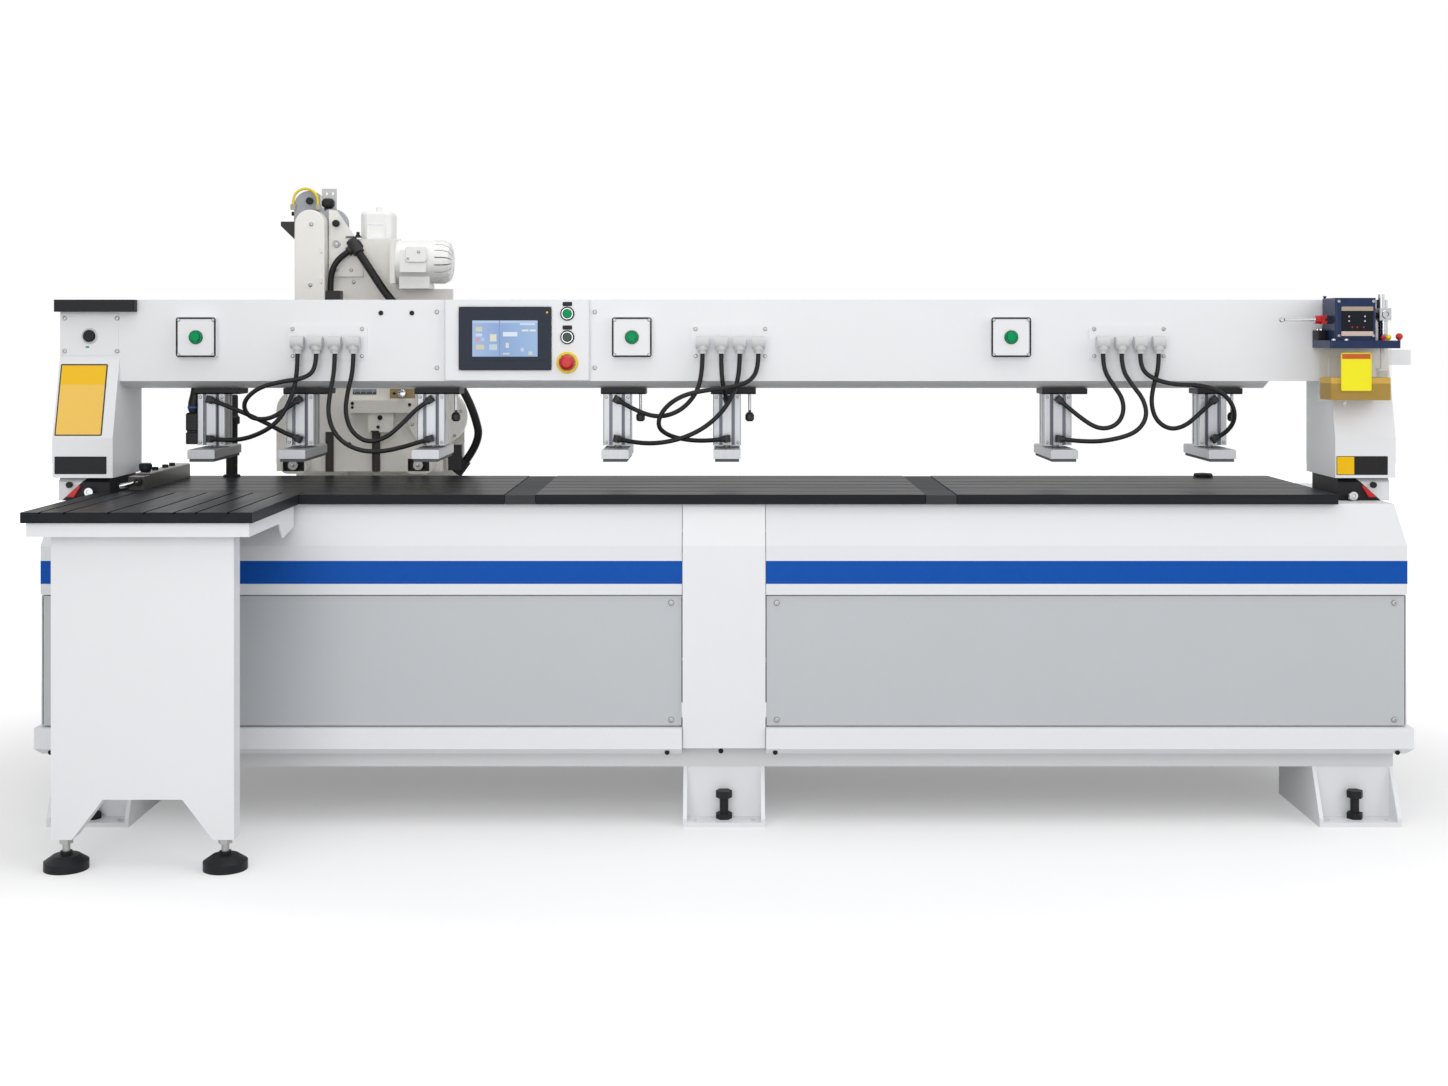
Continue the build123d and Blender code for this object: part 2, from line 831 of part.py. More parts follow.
with BuildPart() as stop_knob:
    knob_bottom = fence_top + slide_clearance
    neck_bottom = table_top + groove_depth + slide_clearance
    knob_profile = [
        (0, neck_bottom),
        (knob_neck / 2, neck_bottom),
        (knob_neck / 2, knob_bottom),
        (knob_diameter * 0.35, knob_bottom),
        (knob_diameter / 2, knob_bottom + knob_height * 0.4),
        (knob_diameter / 2, knob_bottom + knob_height * 0.85),
        (knob_diameter * 0.4, knob_bottom + knob_height),
        (0, knob_bottom + knob_height),
    ]
    turned((fence_mid, knob_y, 0), (0, 0, 1), knob_profile)


# Bridge columns: hollow, leaning forward below the beam
def column_outline(wall, top):
    back_y = front + bridge_back - wall
    return [
        (front + column_front + wall, column_bottom),
        (front + column_front + wall, column_knee),
        (beam_face + wall, column_shoulder),
        (beam_face + wall, top - wall),
        (back_y, top - wall),
        (back_y, column_bottom),
    ]


with BuildPart() as columns:
    for side, top in ((-1, beam_top - cap_height), (1, beam_top)):
        column_left = min(side * column_inner, side * column_outer)
        with BuildSketch(Plane.YZ.offset(column_left)):
            with BuildLine():
                Polyline(*column_outline(0, top), close=True)
            make_face()
        extrude(amount=column_width)
        with BuildSketch(Plane.YZ.offset(column_left + column_wall)):
            with BuildLine():
                Polyline(*column_outline(column_wall, top), close=True)
            make_face()
        extrude(amount=column_width - 2 * column_wall, mode=Mode.SUBTRACT)
    outlet_y = beam_face + outlet_depth
    block(
        (column_outer, column_outer + outlet_length),
        around(outlet_y, outlet_depth),
        around(outlet_z, outlet_height),
    )
    button_hole(power_x, beam_face, power_button_z, power_button_diameter)

with BuildPart() as power_button:
    push_button(power_x, beam_face, power_button_z, power_button_diameter, power_button_out)
    fillet(power_button.faces().sort_by(Axis.Y)[0].edges(), power_button_out / 4)

with BuildPart() as column_bases:
    for side in (-1, 1):
        base_x = around(side * (column_inner + column_outer) / 2, column_width - 2 * base_margin)
        base_y = (front + column_front + base_margin, front + bridge_back - base_margin)
        block(base_x, base_y, (deck_height, column_bottom))
    low_front = column_bases.edges().filter_by(Axis.X).group_by(Axis.Y)[0]
    chamfer(low_front.group_by(Axis.Z)[-1], base_margin)

with BuildPart() as column_cap:
    cap_z = (beam_top - cap_height, beam_top)
    cap_left = -column_outer - cap_out
    block((cap_left, -column_inner - slide_clearance), (beam_face - cap_front, front + bridge_back), cap_z)
    lip_x = (-column_inner - 2 * slide_clearance, -column_inner + cap_overlap)
    block(lip_x, (beam_face - cap_front, beam_face - slide_clearance), cap_z)
    fillet(column_cap.edges().filter_by(Axis.Z).group_by(Axis.Y)[0], cap_height / 4)
    tray_x = (cap_left + column_wall, -column_inner - column_wall)
    tray_y = (beam_face - cap_front + column_wall, front + bridge_back - column_wall)
    block(tray_x, tray_y, (beam_top - cap_height / 3, beam_top), mode=Mode.SUBTRACT)

# Bridge beam and the slotted clamp rail under it
with BuildPart() as beam:
    with BuildSketch(Plane.YZ.offset(-column_inner)):
        beam_middle = (front + (bridge_front + bridge_back) / 2, beam_bottom + beam_height / 2)
        with Locations(beam_middle):
            Rectangle(bridge_back - bridge_front, beam_height)
            Rectangle(
                bridge_back - bridge_front - 2 * column_wall,
                beam_height - 2 * column_wall,
                mode=Mode.SUBTRACT,
            )
    extrude(amount=2 * column_inner)

with BuildPart() as clamp_rail:
    with BuildSketch(Plane.YZ.offset(-column_inner)):
        with BuildLine():
            Polyline(
                (beam_face, beam_bottom),
                (front + bridge_back - rail_back_inset, beam_bottom),
                (front + bridge_back - rail_back_inset, rail_bottom),
                (beam_face + rail_slope, rail_bottom),
                close=True,
            )
        make_face()
        with Locations((barrel_y, rail_bottom + slot_depth / 2)):
            Rectangle(slot_width, slot_depth, mode=Mode.SUBTRACT)
        with Locations((barrel_y, rail_bottom + slot_depth * 0.75)):
            Rectangle(slot_width * 2, slot_depth / 2, mode=Mode.SUBTRACT)
    extrude(amount=2 * column_inner - rail_short)

# Button boxes on the beam, with one push button each
with BuildPart() as button_boxes:
    with Locations([(x, beam_face - box_depth / 2, box_z) for x in box_stations]):
        Box(box_size, box_depth, box_size)
    fillet(button_boxes.edges().filter_by(Axis.Y), box_size / 25)
    for station in box_stations:
        button_hole(station, beam_face - box_depth, box_z, clamp_button_diameter)

clamp_buttons = []
for station in box_stations:
    with BuildPart() as clamp_button:
        push_button(station, beam_face - box_depth, box_z, clamp_button_diameter, clamp_button_out)
        fillet(clamp_button.faces().sort_by(Axis.Y)[0].edges(), clamp_button_out / 6)
    clamp_buttons.append(clamp_button)

# Operator panel with a touch screen and three buttons
panel_left = panel_centre - panel_width / 2
panel_bottom = beam_bottom + cover_gap
panel_top = panel_bottom + panel_height
panel_face = beam_face - panel_depth
panel_button_x = panel_left + column_of_buttons
screen_x = (panel_left + screen_left, panel_left + screen_left + screen_width)
screen_z = (panel_top - screen_drop - screen_height, panel_top - screen_drop)

with BuildPart() as operator_panel:
    block(around(panel_centre, panel_width), (panel_face, beam_face), (panel_bottom, panel_top))
    fillet(operator_panel.edges().filter_by(Axis.Z).group_by(Axis.Y)[0], panel_depth / 3)
    pocket_x = (screen_x[0] - slide_clearance, screen_x[1] + slide_clearance)
    pocket_z = (screen_z[0] - slide_clearance, screen_z[1] + slide_clearance)
    block(pocket_x, (panel_face, panel_face + screen_pocket), pocket_z, mode=Mode.SUBTRACT)
    for drop in (start_drop, stop_drop, emergency_drop):
        button_hole(panel_button_x, panel_face, panel_top - drop, small_button_diameter)

with BuildPart() as touch_screen:
    block(screen_x, (panel_face - screen_out, panel_face + screen_pocket), screen_z)
    fillet(touch_screen.edges().filter_by(Axis.Y), screen_border / 4)
    glass_x = (screen_x[0] + screen_border, screen_x[1] - screen_border)
    glass_z = (screen_z[0] + screen_border, screen_z[1] - screen_border)
    glass_y = (panel_face - screen_out, panel_face - screen_out + screen_sink)
    block(glass_x, glass_y, glass_z, mode=Mode.SUBTRACT)

with BuildPart() as start_button:
    push_button(panel_button_x, panel_face, panel_top - start_drop, small_button_diameter, small_button_out)
    fillet(start_button.faces().sort_by(Axis.Y)[0].edges(), small_button_out / 4)

with BuildPart() as stop_button:
    push_button(panel_button_x, panel_face, panel_top - stop_drop, small_button_diameter, small_button_out)
    fillet(stop_button.faces().sort_by(Axis.Y)[0].edges(), small_button_out / 4)

with BuildPart() as emergency_button:
    stem = button_depth + 2 * button_travel
    mushroom = mushroom_diameter / 2
    mushroom_profile = [
        (0, 0),
        (small_button_diameter / 2, 0),
        (small_button_diameter / 2, stem),
        (mushroom * 0.9, stem),
        (mushroom, stem + mushroom_height * 0.3),
        (mushroom * 0.92, stem + mushroom_height * 0.65),
        (mushroom * 0.6, stem + mushroom_height * 0.94),
        (0, stem + mushroom_height),
    ]
    emergency_centre = (panel_button_x, panel_face + button_depth, panel_top - emergency_drop)
    turned(emergency_centre, toward, mushroom_profile)

# Clamps: mounts under the rail, grooved cylinders, lock screws, foot plates with rods, rubber pads
with BuildPart() as clamp_mounts:
    with Locations([(x + mount_shift, barrel_y, mount_bottom + mount_height / 2) for x in all_clamps]):
        Box(mount_width, mount_depth, mount_height)
    chamfer(clamp_mounts.edges().filter_by(Axis.X).group_by(Axis.Z)[0], mount_height / 4)

with BuildPart() as clamp_barrels:
    with BuildSketch(Plane.XY.offset(barrel_bottom)):
        with Locations([(x, barrel_y) for x in all_clamps]):
            RectangleRounded(barrel_size, barrel_size, barrel_groove / 2)
        groove_middle = (barrel_size - barrel_groove) / 2
        for x in all_clamps:
            for shift in (-1.5 * barrel_rib, 1.5 * barrel_rib):
                for side in (-groove_middle, groove_middle):
                    with Locations((x + shift, barrel_y + side), (x + side, barrel_y + shift)):
                        Rectangle(barrel_groove, barrel_groove, mode=Mode.SUBTRACT)
    extrude(amount=barrel_height)
    for x in all_clamps:
        bore_depth = rod_in_barrel + foot_gap
        bore_start = (x, barrel_y, barrel_bottom)
        rod(bore_start, (0, 0, 1), bore_depth, rod_diameter / 2 + running_clearance, mode=Mode.SUBTRACT)

with BuildPart() as clamp_screws:
    for x in (left_clamps[2], middle_clamps[0], middle_clamps[1], right_clamps[1]):
        screw_profile = [
            (0, 0),
            (screw_diameter / 2, 0),
            (screw_diameter / 2, screw_length),
            (screw_knob * 0.3, screw_length),
            (screw_knob / 2, screw_length + screw_knob * 0.3),
            (screw_knob / 2, screw_length + screw_knob * 0.8),
            (screw_knob * 0.3, screw_length + screw_knob),
            (0, screw_length + screw_knob),
        ]
        turned((x + screw_offset, barrel_y, mount_bottom), (0, 0, -1), screw_profile)

clamp_foot_top = barrel_bottom - foot_gap
clamp_foot_bottom = clamp_foot_top - clamp_foot_height
foot_groups = []
pad_groups = []
for group in (left_clamps, middle_clamps, right_clamps):
    with BuildPart() as clamp_feet:
        for x in group:
            foot_y = around(barrel_y, clamp_foot_length)
            block(around(x, clamp_foot_width), foot_y, (clamp_foot_bottom, clamp_foot_top))
        chamfer(clamp_feet.edges().filter_by(Axis.Y).group_by(Axis.Z)[-1], clamp_foot_height / 8)
        for x in group:
            rod((x, barrel_y, clamp_foot_top), (0, 0, 1), foot_gap + rod_in_barrel, rod_diameter / 2)
    foot_groups.append(clamp_feet)
    with BuildPart() as clamp_pads:
        for x in group:
            block(
                around(x, clamp_foot_width - 2 * clamp_pad_inset),
                around(barrel_y, clamp_foot_length - 2 * clamp_pad_inset),
                (clamp_foot_bottom - clamp_pad_height, clamp_foot_bottom),
            )
    pad_groups.append(clamp_pads)

# Air hoses: each runs from an elbow on the beam, or from a clamp port, to a clamp port.
# The points between are in x from the middle of the gland plate, distance behind the body's front, and height
# above that middle.
elbow_y = beam_face - gland_thickness - elbow_reach
port_y = front + barrel_front - port_reach
port_high = mount_bottom - port_from_top
port_low = barrel_bottom + port_from_bottom


def elbow(group, number):
    x = gland_stations[group] + (number - (elbow_count - 1) / 2) * elbow_pitch
    return (Vector(x, elbow_y, gland_z), elbow_drop)


def port(x, z):
    return (Vector(x, port_y, z), port_nose)


left_routes = [
    (
        elbow(0, 0),
        [(-74, 130, -84), (-89, 126, -149), (-126, 122, -214), (-191, 128, -249), (-256, 150, -260)],
        port(left_clamps[0], port_low),
    ),
    (
        elbow(0, 1),
        [(-25, 130, -69), (-51, 116, -94), (-111, 102, -102), (-173, 98, -119), (-213, 104, -159),
         (-199, 124, -199), (-156, 148, -204), (-119, 162, -182)],
        port(left_clamps[1], port_high),
    ),
    (
        elbow(0, 2),
        [(24, 130, -74), (13, 122, -134), (9, 114, -194), (33, 110, -249), (84, 112, -282),
         (144, 122, -288), (204, 146, -276)],
        port(left_clamps[2], port_low),
    ),
    (
        elbow(0, 3),
        [(73, 130, -74), (57, 136, -129), (49, 140, -184), (64, 142, -234), (104, 142, -264),
         (154, 146, -254), (199, 156, -214), (231, 168, -178)],
        port(left_clamps[2], port_high),
    ),
    (
        port(left_clamps[0], port_high),
        [(-269, 166, -168), (-219, 160, -188), (-166, 160, -212), (-121, 168, -238)],
        port(left_clamps[1], port_low),
    ),
]
middle_routes = [
    (
        elbow(1, 0),
        [(-74, 130, -79), (-89, 128, -134), (-129, 126, -179), (-185, 130, -198), (-243, 150, -184)],
        port(middle_clamps[0], port_high),
    ),
    (
        elbow(1, 1),
        [(-24, 130, -66), (-21, 126, -104), (-16, 140, -132)],
        port(middle_clamps[1], port_high),
    ),
    (
        elbow(1, 2),
        [(24, 130, -79), (9, 118, -134), (-23, 108, -184), (-69, 104, -224), (-123, 106, -250),
         (-182, 116, -264), (-243, 142, -266)],
        port(middle_clamps[0], port_low),
    ),
    (
        elbow(1, 3),
        [(73, 130, -72), (49, 110, -104), (-3, 94, -118), (-65, 90, -124), (-129, 90, -138), (-177, 98, -174),
         (-193, 112, -218), (-167, 132, -244), (-115, 148, -258), (-62, 162, -261)],
        port(middle_clamps[1], port_low),
    ),
]
right_routes = [
    (
        elbow(2, 0),
        [(-73, 130, -69), (-49, 128, -109), (-21, 126, -149), (-21, 124, -192), (-45, 124, -222),
         (-86, 130, -228), (-131, 150, -198)],
        port(right_clamps[0], port_high),
    ),
    (
        elbow(2, 1),
        [(-24, 130, -69), (-1, 118, -109), (29, 108, -149), (37, 104, -194), (13, 104, -232),
         (-36, 112, -252), (-106, 140, -264)],
        port(right_clamps[0], port_low),
    ),
    (
        elbow(2, 2),
        [(25, 130, -66), (51, 114, -94), (104, 102, -110), (167, 98, -110), (225, 102, -124),
         (263, 110, -160), (275, 130, -202), (261, 154, -236)],
        port(right_clamps[1], port_low),
    ),
    (
        elbow(2, 3),
        [(73, 130, -69), (61, 138, -114), (55, 140, -162), (69, 142, -206), (105, 144, -230),
         (147, 150, -222), (187, 160, -190)],
        port(right_clamps[1], port_high),
    ),
]


def hose_points(route, station):
    # The hose starts and ends on the mouths of its fittings
    start, way, end = route
    middle = [Vector(station + x, front + behind, gland_z + z) for x, behind, z in way]
    points = [start[0]] + middle + [end[0]]
    points[0] = points[0] + (points[1] - points[0]).normalized() * start[1]
    points[-1] = points[-1] + (points[-2] - points[-1]).normalized() * end[1]
    return points


def hose(name, points, diameter):
    # Straight runs joined by tangent arcs
    runs = [after - before for before, after in zip(points, points[1:])]
    radii = []
    for before, after in zip(runs, runs[1:]):
        half_turn = radians(before.get_angle(after)) / 2
        radii.append(bend_share * min(before.length, after.length) / tan(half_turn))
    with BuildLine() as path:
        FilletPolyline(*points, radius=radii)
    with BuildSketch(Plane(origin=points[0], z_dir=runs[0])) as section:
        RegularPolygon(diameter / 2, hose_sides)
    solid = sweep(section.sketch, path=path.wires()[0])
    length = path.wires()[0].length
    share = solid.volume / (section.sketch.area * length)
    print(f"{name}: length {length:.0f}, least radius {min(radii):.0f}, volume against section {share:.3f}")


hose_groups = []
hose_lines = []
route_groups = {"left": left_routes, "middle": middle_routes, "right": right_routes}
for (name, routes), station in zip(route_groups.items(), gland_stations):
    with BuildPart() as hoses:
        for number, route in enumerate(routes, 1):
            points = hose_points(route, station)
            hose_lines.append((route, points))
            hose(f"hose {name} {number}", points, hose_diameter)
    hose_groups.append(hoses)

with BuildPart() as gland_plates:
    with Locations([(x, beam_face - gland_thickness / 2, gland_z) for x in gland_stations]):
        Box(gland_width, gland_thickness, gland_height)
    fillet(gland_plates.edges().filter_by(Axis.Y), gland_corner)

with BuildPart() as elbow_fittings:
    for route, points in hose_lines:
        for (centre, nose), mouth in ((route[0], points[0]), (route[2], points[-1])):
            aim = (mouth - centre).normalized()
            if nose == elbow_drop:
                seat, barrel, tip = elbow_reach, elbow_radius, elbow_mouth
            else:
                seat, barrel, tip = port_reach, port_radius, port_nose_radius
            hub = aim.cross(Vector(0, 1, 0)).normalized()
            hub_half = barrel * knuckle
            rod(centre - hub * hub_half, hub, 2 * hub_half, hub_half)
            rod(centre, (0, 1, 0), seat, barrel)
            rod(centre, aim, nose * collar_share, barrel)
            rod(centre, aim, nose, tip)

# Oil lubricator: pump housing with a flange and bracket, clear tank, hand lever, outlet fittings
pump_x = half_length - pump_from_end - pump_width / 2
pump_y = beam_face - pump_standoff - pump_depth / 2
flange_x = pump_x + flange_shift
flange_front = beam_face - flange_depth
tank_x = flange_x + tank_shift
tank_y = flange_front + tank_setback + tank_depth / 2
flange_bottom = pump_bottom - flange_height
pump_side = pump_x - pump_width / 2
lever_z = pump_bottom + lever_rise
lever_x = pump_side - lever_collar - lever_gap
ear_offset = lever_collar + lever_gap

with BuildPart() as pump_housing:
    block(around(pump_x, pump_width), around(pump_y, pump_depth), (pump_bottom, pump_bottom + pump_height))
    block(around(flange_x, flange_width), (flange_front, beam_face), (flange_bottom, pump_bottom))
    fillet(pump_housing.edges().filter_by(Axis.Z), pump_ear)
    bracket_y = (pump_y + pump_depth / 2, beam_face)
    block(around(pump_x, pump_width / 2), bracket_y, (pump_bottom, pump_bottom + pump_height * 0.8))
    for side in (-1, 1):
        ear_y = pump_y + side * (ear_offset + pump_ear / 2)
        ear_x = (lever_x - lever_collar, pump_side)
        block(ear_x, around(ear_y, pump_ear), around(lever_z, 2 * lever_collar))
    pin_start = (lever_x, pump_y - ear_offset - pump_ear, lever_z)
    pin_hole = lever_radius + running_clearance
    rod(pin_start, (0, 1, 0), 2 * (ear_offset + pump_ear), pin_hole, mode=Mode.SUBTRACT)

with BuildPart() as pump_handle:
    lever_profile = [
        (0, 0),
        (lever_collar, 0),
        (lever_collar, lever_collar_length),
        (lever_radius, lever_collar_length),
        (lever_radius, lever_length - 2 * lever_ball),
        (lever_ball, lever_length - 1.5 * lever_ball),
        (lever_ball, lever_length - 0.5 * lever_ball),
        (lever_ball * 0.5, lever_length),
        (0, lever_length),
    ]
    turned((lever_x, pump_y, lever_z), (-1, 0, 0), lever_profile)
    with Locations((lever_x, pump_y, lever_z)):
        Sphere(lever_collar)
    rod(pin_start, (0, 1, 0), 2 * (ear_offset + pump_ear), lever_radius)

with BuildPart() as pump_reservoir:
    tank_z = (flange_bottom - tank_height, flange_bottom)
    block(around(tank_x, tank_width), around(tank_y, tank_depth), tank_z)
    fillet(pump_reservoir.edges().filter_by(Axis.Z), 3 * tank_wall)
    block(
        around(tank_x, tank_width - 2 * tank_wall),
        around(tank_y, tank_depth - 2 * tank_wall),
        (tank_z[0] + tank_wall, tank_z[1]),
        mode=Mode.SUBTRACT,
    )

with BuildPart() as pump_fittings:
    stack_x = pump_x + pump_width / 2 + stack_gap
    hex_bar((stack_x, pump_y, pump_bottom), (0, 0, 1), stack_nut_height, stack_nut)
    block_bottom = pump_bottom + stack_block_rise
    rod((stack_x, pump_y, pump_bottom), (0, 0, 1), stack_block_rise, stack_pipe / 2)
    block_top = block_bottom + stack_block_height
    block(around(stack_x, stack_block), around(pump_y, stack_block), (block_bottom, block_top))
    cap_x = stack_x - stack_cap_shift
    rod((cap_x, pump_y, block_top), (0, 0, 1), stack_cap_height, stack_cap / 2)
    rod((cap_x, pump_y, block_top + stack_cap_height), (0, 0, 1), stack_button_height, stack_button / 2)
    for station, ball in zip(plug_stations, plug_balls):
        plug_x, plug_y = stack_x + station, pump_y - plug_row
        rod((plug_x, plug_y, pump_bottom), (0, 0, 1), plug_rise + ball / 2, plug_neck / 2)
        with Locations((plug_x, plug_y, pump_bottom + plug_rise + ball / 2)):
            Sphere(ball / 2)

# Rails and fixed drive screw for the drilling head, along the back of the body
rail_end = plinth_x - rail_end_gap
rail_top = trough_height + rail_height
screw_y = (guide_rows[0] + guide_rows[1]) / 2
screw_z = trough_height

with BuildPart() as rear_rails:
    for rail_y in guide_rows:
        block((-rail_end, rail_end), around(rail_y, rail_width), (trough_height, rail_top))

with BuildPart() as drive_screw:
    for side in (-1, 1):
        end_x = side * (plinth_x - tube_size / 2)
        block(
            around(end_x, bearing_block),
            around(screw_y, bearing_block),
            (guide_bottom, screw_z + bearing_block / 2),
        )
    screw_end = plinth_x - tube_size / 2 + bearing_block / 2
    bearing_bore = screw_drive_diameter / 2 + running_clearance
    rod((-screw_end, screw_y, screw_z), (1, 0, 0), 2 * screw_end, bearing_bore, mode=Mode.SUBTRACT)
    rod((-screw_end, screw_y, screw_z), (1, 0, 0), 2 * screw_end, screw_drive_diameter / 2)

# Carriage: saddle on four rail blocks, nut housing, upright with two lift rails
saddle_bottom = rail_top + slide_clearance + block_skirt
saddle_top = saddle_bottom + saddle_thickness
saddle_y = (guide_rows[0] - block_width * 0.8, guide_rows[1] + block_width * 0.8)
upright_y = (rear - upright_rear_inset, rear - upright_rear_inset + upright_thickness)
upright_top = slide_top - upright_shoulder
neck_top = upright_top + upright_neck_height
lift_rails = (head_x - z_rail_spacing / 2, head_x + z_rail_spacing / 2)
lift_rail_y = (upright_y[0] - z_rail_size, upright_y[0])

with BuildPart() as head_carriage:
    block(around(head_x, saddle_length), saddle_y, (saddle_bottom, saddle_top))
    for rail_y in guide_rows:
        for side in (-1, 1):
            block_x = around(head_x + side * (saddle_length - block_length) / 2, block_length)
            block_z = (rail_top - block_skirt, saddle_bottom)
            block(block_x, around(rail_y, block_width), block_z)
            slot_z = (rail_top - block_skirt, rail_top + slide_clearance)
            slot_y = around(rail_y, rail_width + 2 * slide_clearance)
            block(block_x, slot_y, slot_z, mode=Mode.SUBTRACT)
    nut_z = (screw_z - bearing_block / 2, saddle_bottom)
    block(around(head_x, nut_length), around(screw_y, bearing_block), nut_z)
    nut_start = (head_x - nut_length / 2, screw_y, screw_z)
    rod(nut_start, (1, 0, 0), nut_length, bearing_bore, mode=Mode.SUBTRACT)
    with BuildSketch(Plane.XZ.offset(-upright_y[1])):
        with BuildLine():
            wide = upright_width / 2
            narrow = upright_neck / 2
            Polyline(
                (head_x - wide, saddle_top),
                (head_x - wide, upright_top - upright_flare),
                (head_x - narrow, upright_top),
                (head_x - narrow, neck_top),
                (head_x + narrow, neck_top),
                (head_x + narrow, upright_top),
                (head_x + wide, upright_top - upright_flare),
                (head_x + wide, saddle_top),
                close=True,
            )
        make_face()
    extrude(amount=upright_thickness)
    for side in (-1, 1):
        gusset_x = head_x + side * (wide - upright_thickness / 2)
        with BuildSketch(Plane.YZ.offset(gusset_x)):
            with BuildLine():
                Polyline(
                    (upright_y[1], saddle_top),
                    (saddle_y[1], saddle_top),
                    (saddle_y[1], saddle_top + upright_thickness),
                    (upright_y[1], saddle_top + upright_flare),
                    close=True,
                )
            make_face()
        extrude(amount=upright_thickness / 4, both=True)
    for rail_x in lift_rails:
        block(around(rail_x, z_rail_size), lift_rail_y, (saddle_top + saddle_thickness, upright_top))
    seat_y = (lift_rail_y[0], lift_rail_y[0] + lift_motor_width)
    block(around(head_x, lift_motor_width), seat_y, (neck_top - saddle_thickness, neck_top))

with BuildPart() as lift_motor:
    block(around(head_x, lift_motor_width), seat_y, (neck_top, neck_top + lift_motor_height))
    fillet(lift_motor.edges().filter_by(Axis.Z), lift_motor_corner)
    fillet(lift_motor.faces().sort_by(Axis.Z)[-1].edges(), lift_motor_corner / 2)
    for flange_number in range(2):
        flange_z = neck_top + flange_number * (flange_plate + flange_space)
        flange_y = (seat_y[0] - flange_out, seat_y[1] + flange_out)
        flange_span = around(head_x, lift_motor_width + 2 * flange_out)
        block(flange_span, flange_y, (flange_z, flange_z + flange_plate))
    nub_y = (seat_y[0] + seat_y[1]) / 2
    rod((head_x, nub_y, neck_top + lift_motor_height), (0, 0, 1), nub_height, nub_radius)

# Lifting slide: plate with shoes on the lift rails, bushes for the feed rods, arm for the motor
slide_y = (lift_rail_y[0] - slide_gap - slide_thickness, lift_rail_y[0] - slide_gap)
slide_x = around(head_x, slide_width)
arm_top = slide_top + slide_arm_height
arm_x = (slide_x[0], head_x + slide_arm_reach)
motor_y = lift_rail_y[1] - motor_diameter / 2 - slide_gap
feed_rods = (head_x - feed_rod_spacing / 2, head_x + feed_rod_spacing / 2)
cover_x = head_x + cover_from_head

slide_face = slide_y[0]
relay_top = slide_top - relay_box_below


def on_slide(x, out, above):
    # A point from the head's middle, the slide's face and the slide's top
    return Vector(head_x + x, slide_face - out, slide_top + above)


# Cables on the head: from a gland high on the slide to the cable box, from a second gland to the relay box,
# and a yellow air line in an arch over the pulley plate
cable_points = [
    on_slide(-38, 26, 107),
    on_slide(4, 42, 46),
    on_slide(55, 54, -28),
    on_slide(152, 62, -128),
    on_slide(238, 58, -235),
    on_slide(284, 52, -315),
    on_slide(310, 46, -378),
    on_slide(326, 38, -452),
    on_slide(281, 30, -512),
]
relay_points = [
    on_slide(-72, 22, 110),
    on_slide(-96, 32, 92),
    on_slide(-114, 36, 63),
    on_slide(-122, 34, 28),
    on_slide(-122, 34, -relay_box_below),
]
line_y = slide_face - air_line_standoff
line_left = head_x + air_line_left
line_right = line_left + 2 * air_line_bend
line_bottom = cover_top + cover_gap + air_boss_height
line_knee = line_bottom + air_line_lead
line_cut = air_line_bend * (1 - tan(radians(22.5)))
line_points = [
    Vector(line_left, line_y, line_bottom),
    Vector(line_left, line_y, line_knee),
    Vector(line_left + line_cut, line_y, line_knee + line_cut),
    Vector(line_right - line_cut, line_y, line_knee + line_cut),
    Vector(line_right, line_y, line_knee),
    Vector(line_right, line_y, line_bottom),
]

with BuildPart() as head_hoses:
    hose("head cable", cable_points, cable_diameter)
    hose("relay cable", relay_points, relay_cable_diameter)
    hose("air line", line_points, air_line_diameter)


def slide_plate(outline, y):
    # Flat plate on the slide, its outline in x from the head's middle and height above the slide's top
    with BuildSketch(Plane.XZ.offset(-y[1])) as section:
        with BuildLine():
            Polyline(*[(head_x + x, slide_top + above) for x, above in outline], close=True)
        make_face()
    extrude(section.sketch, amount=y[1] - y[0])


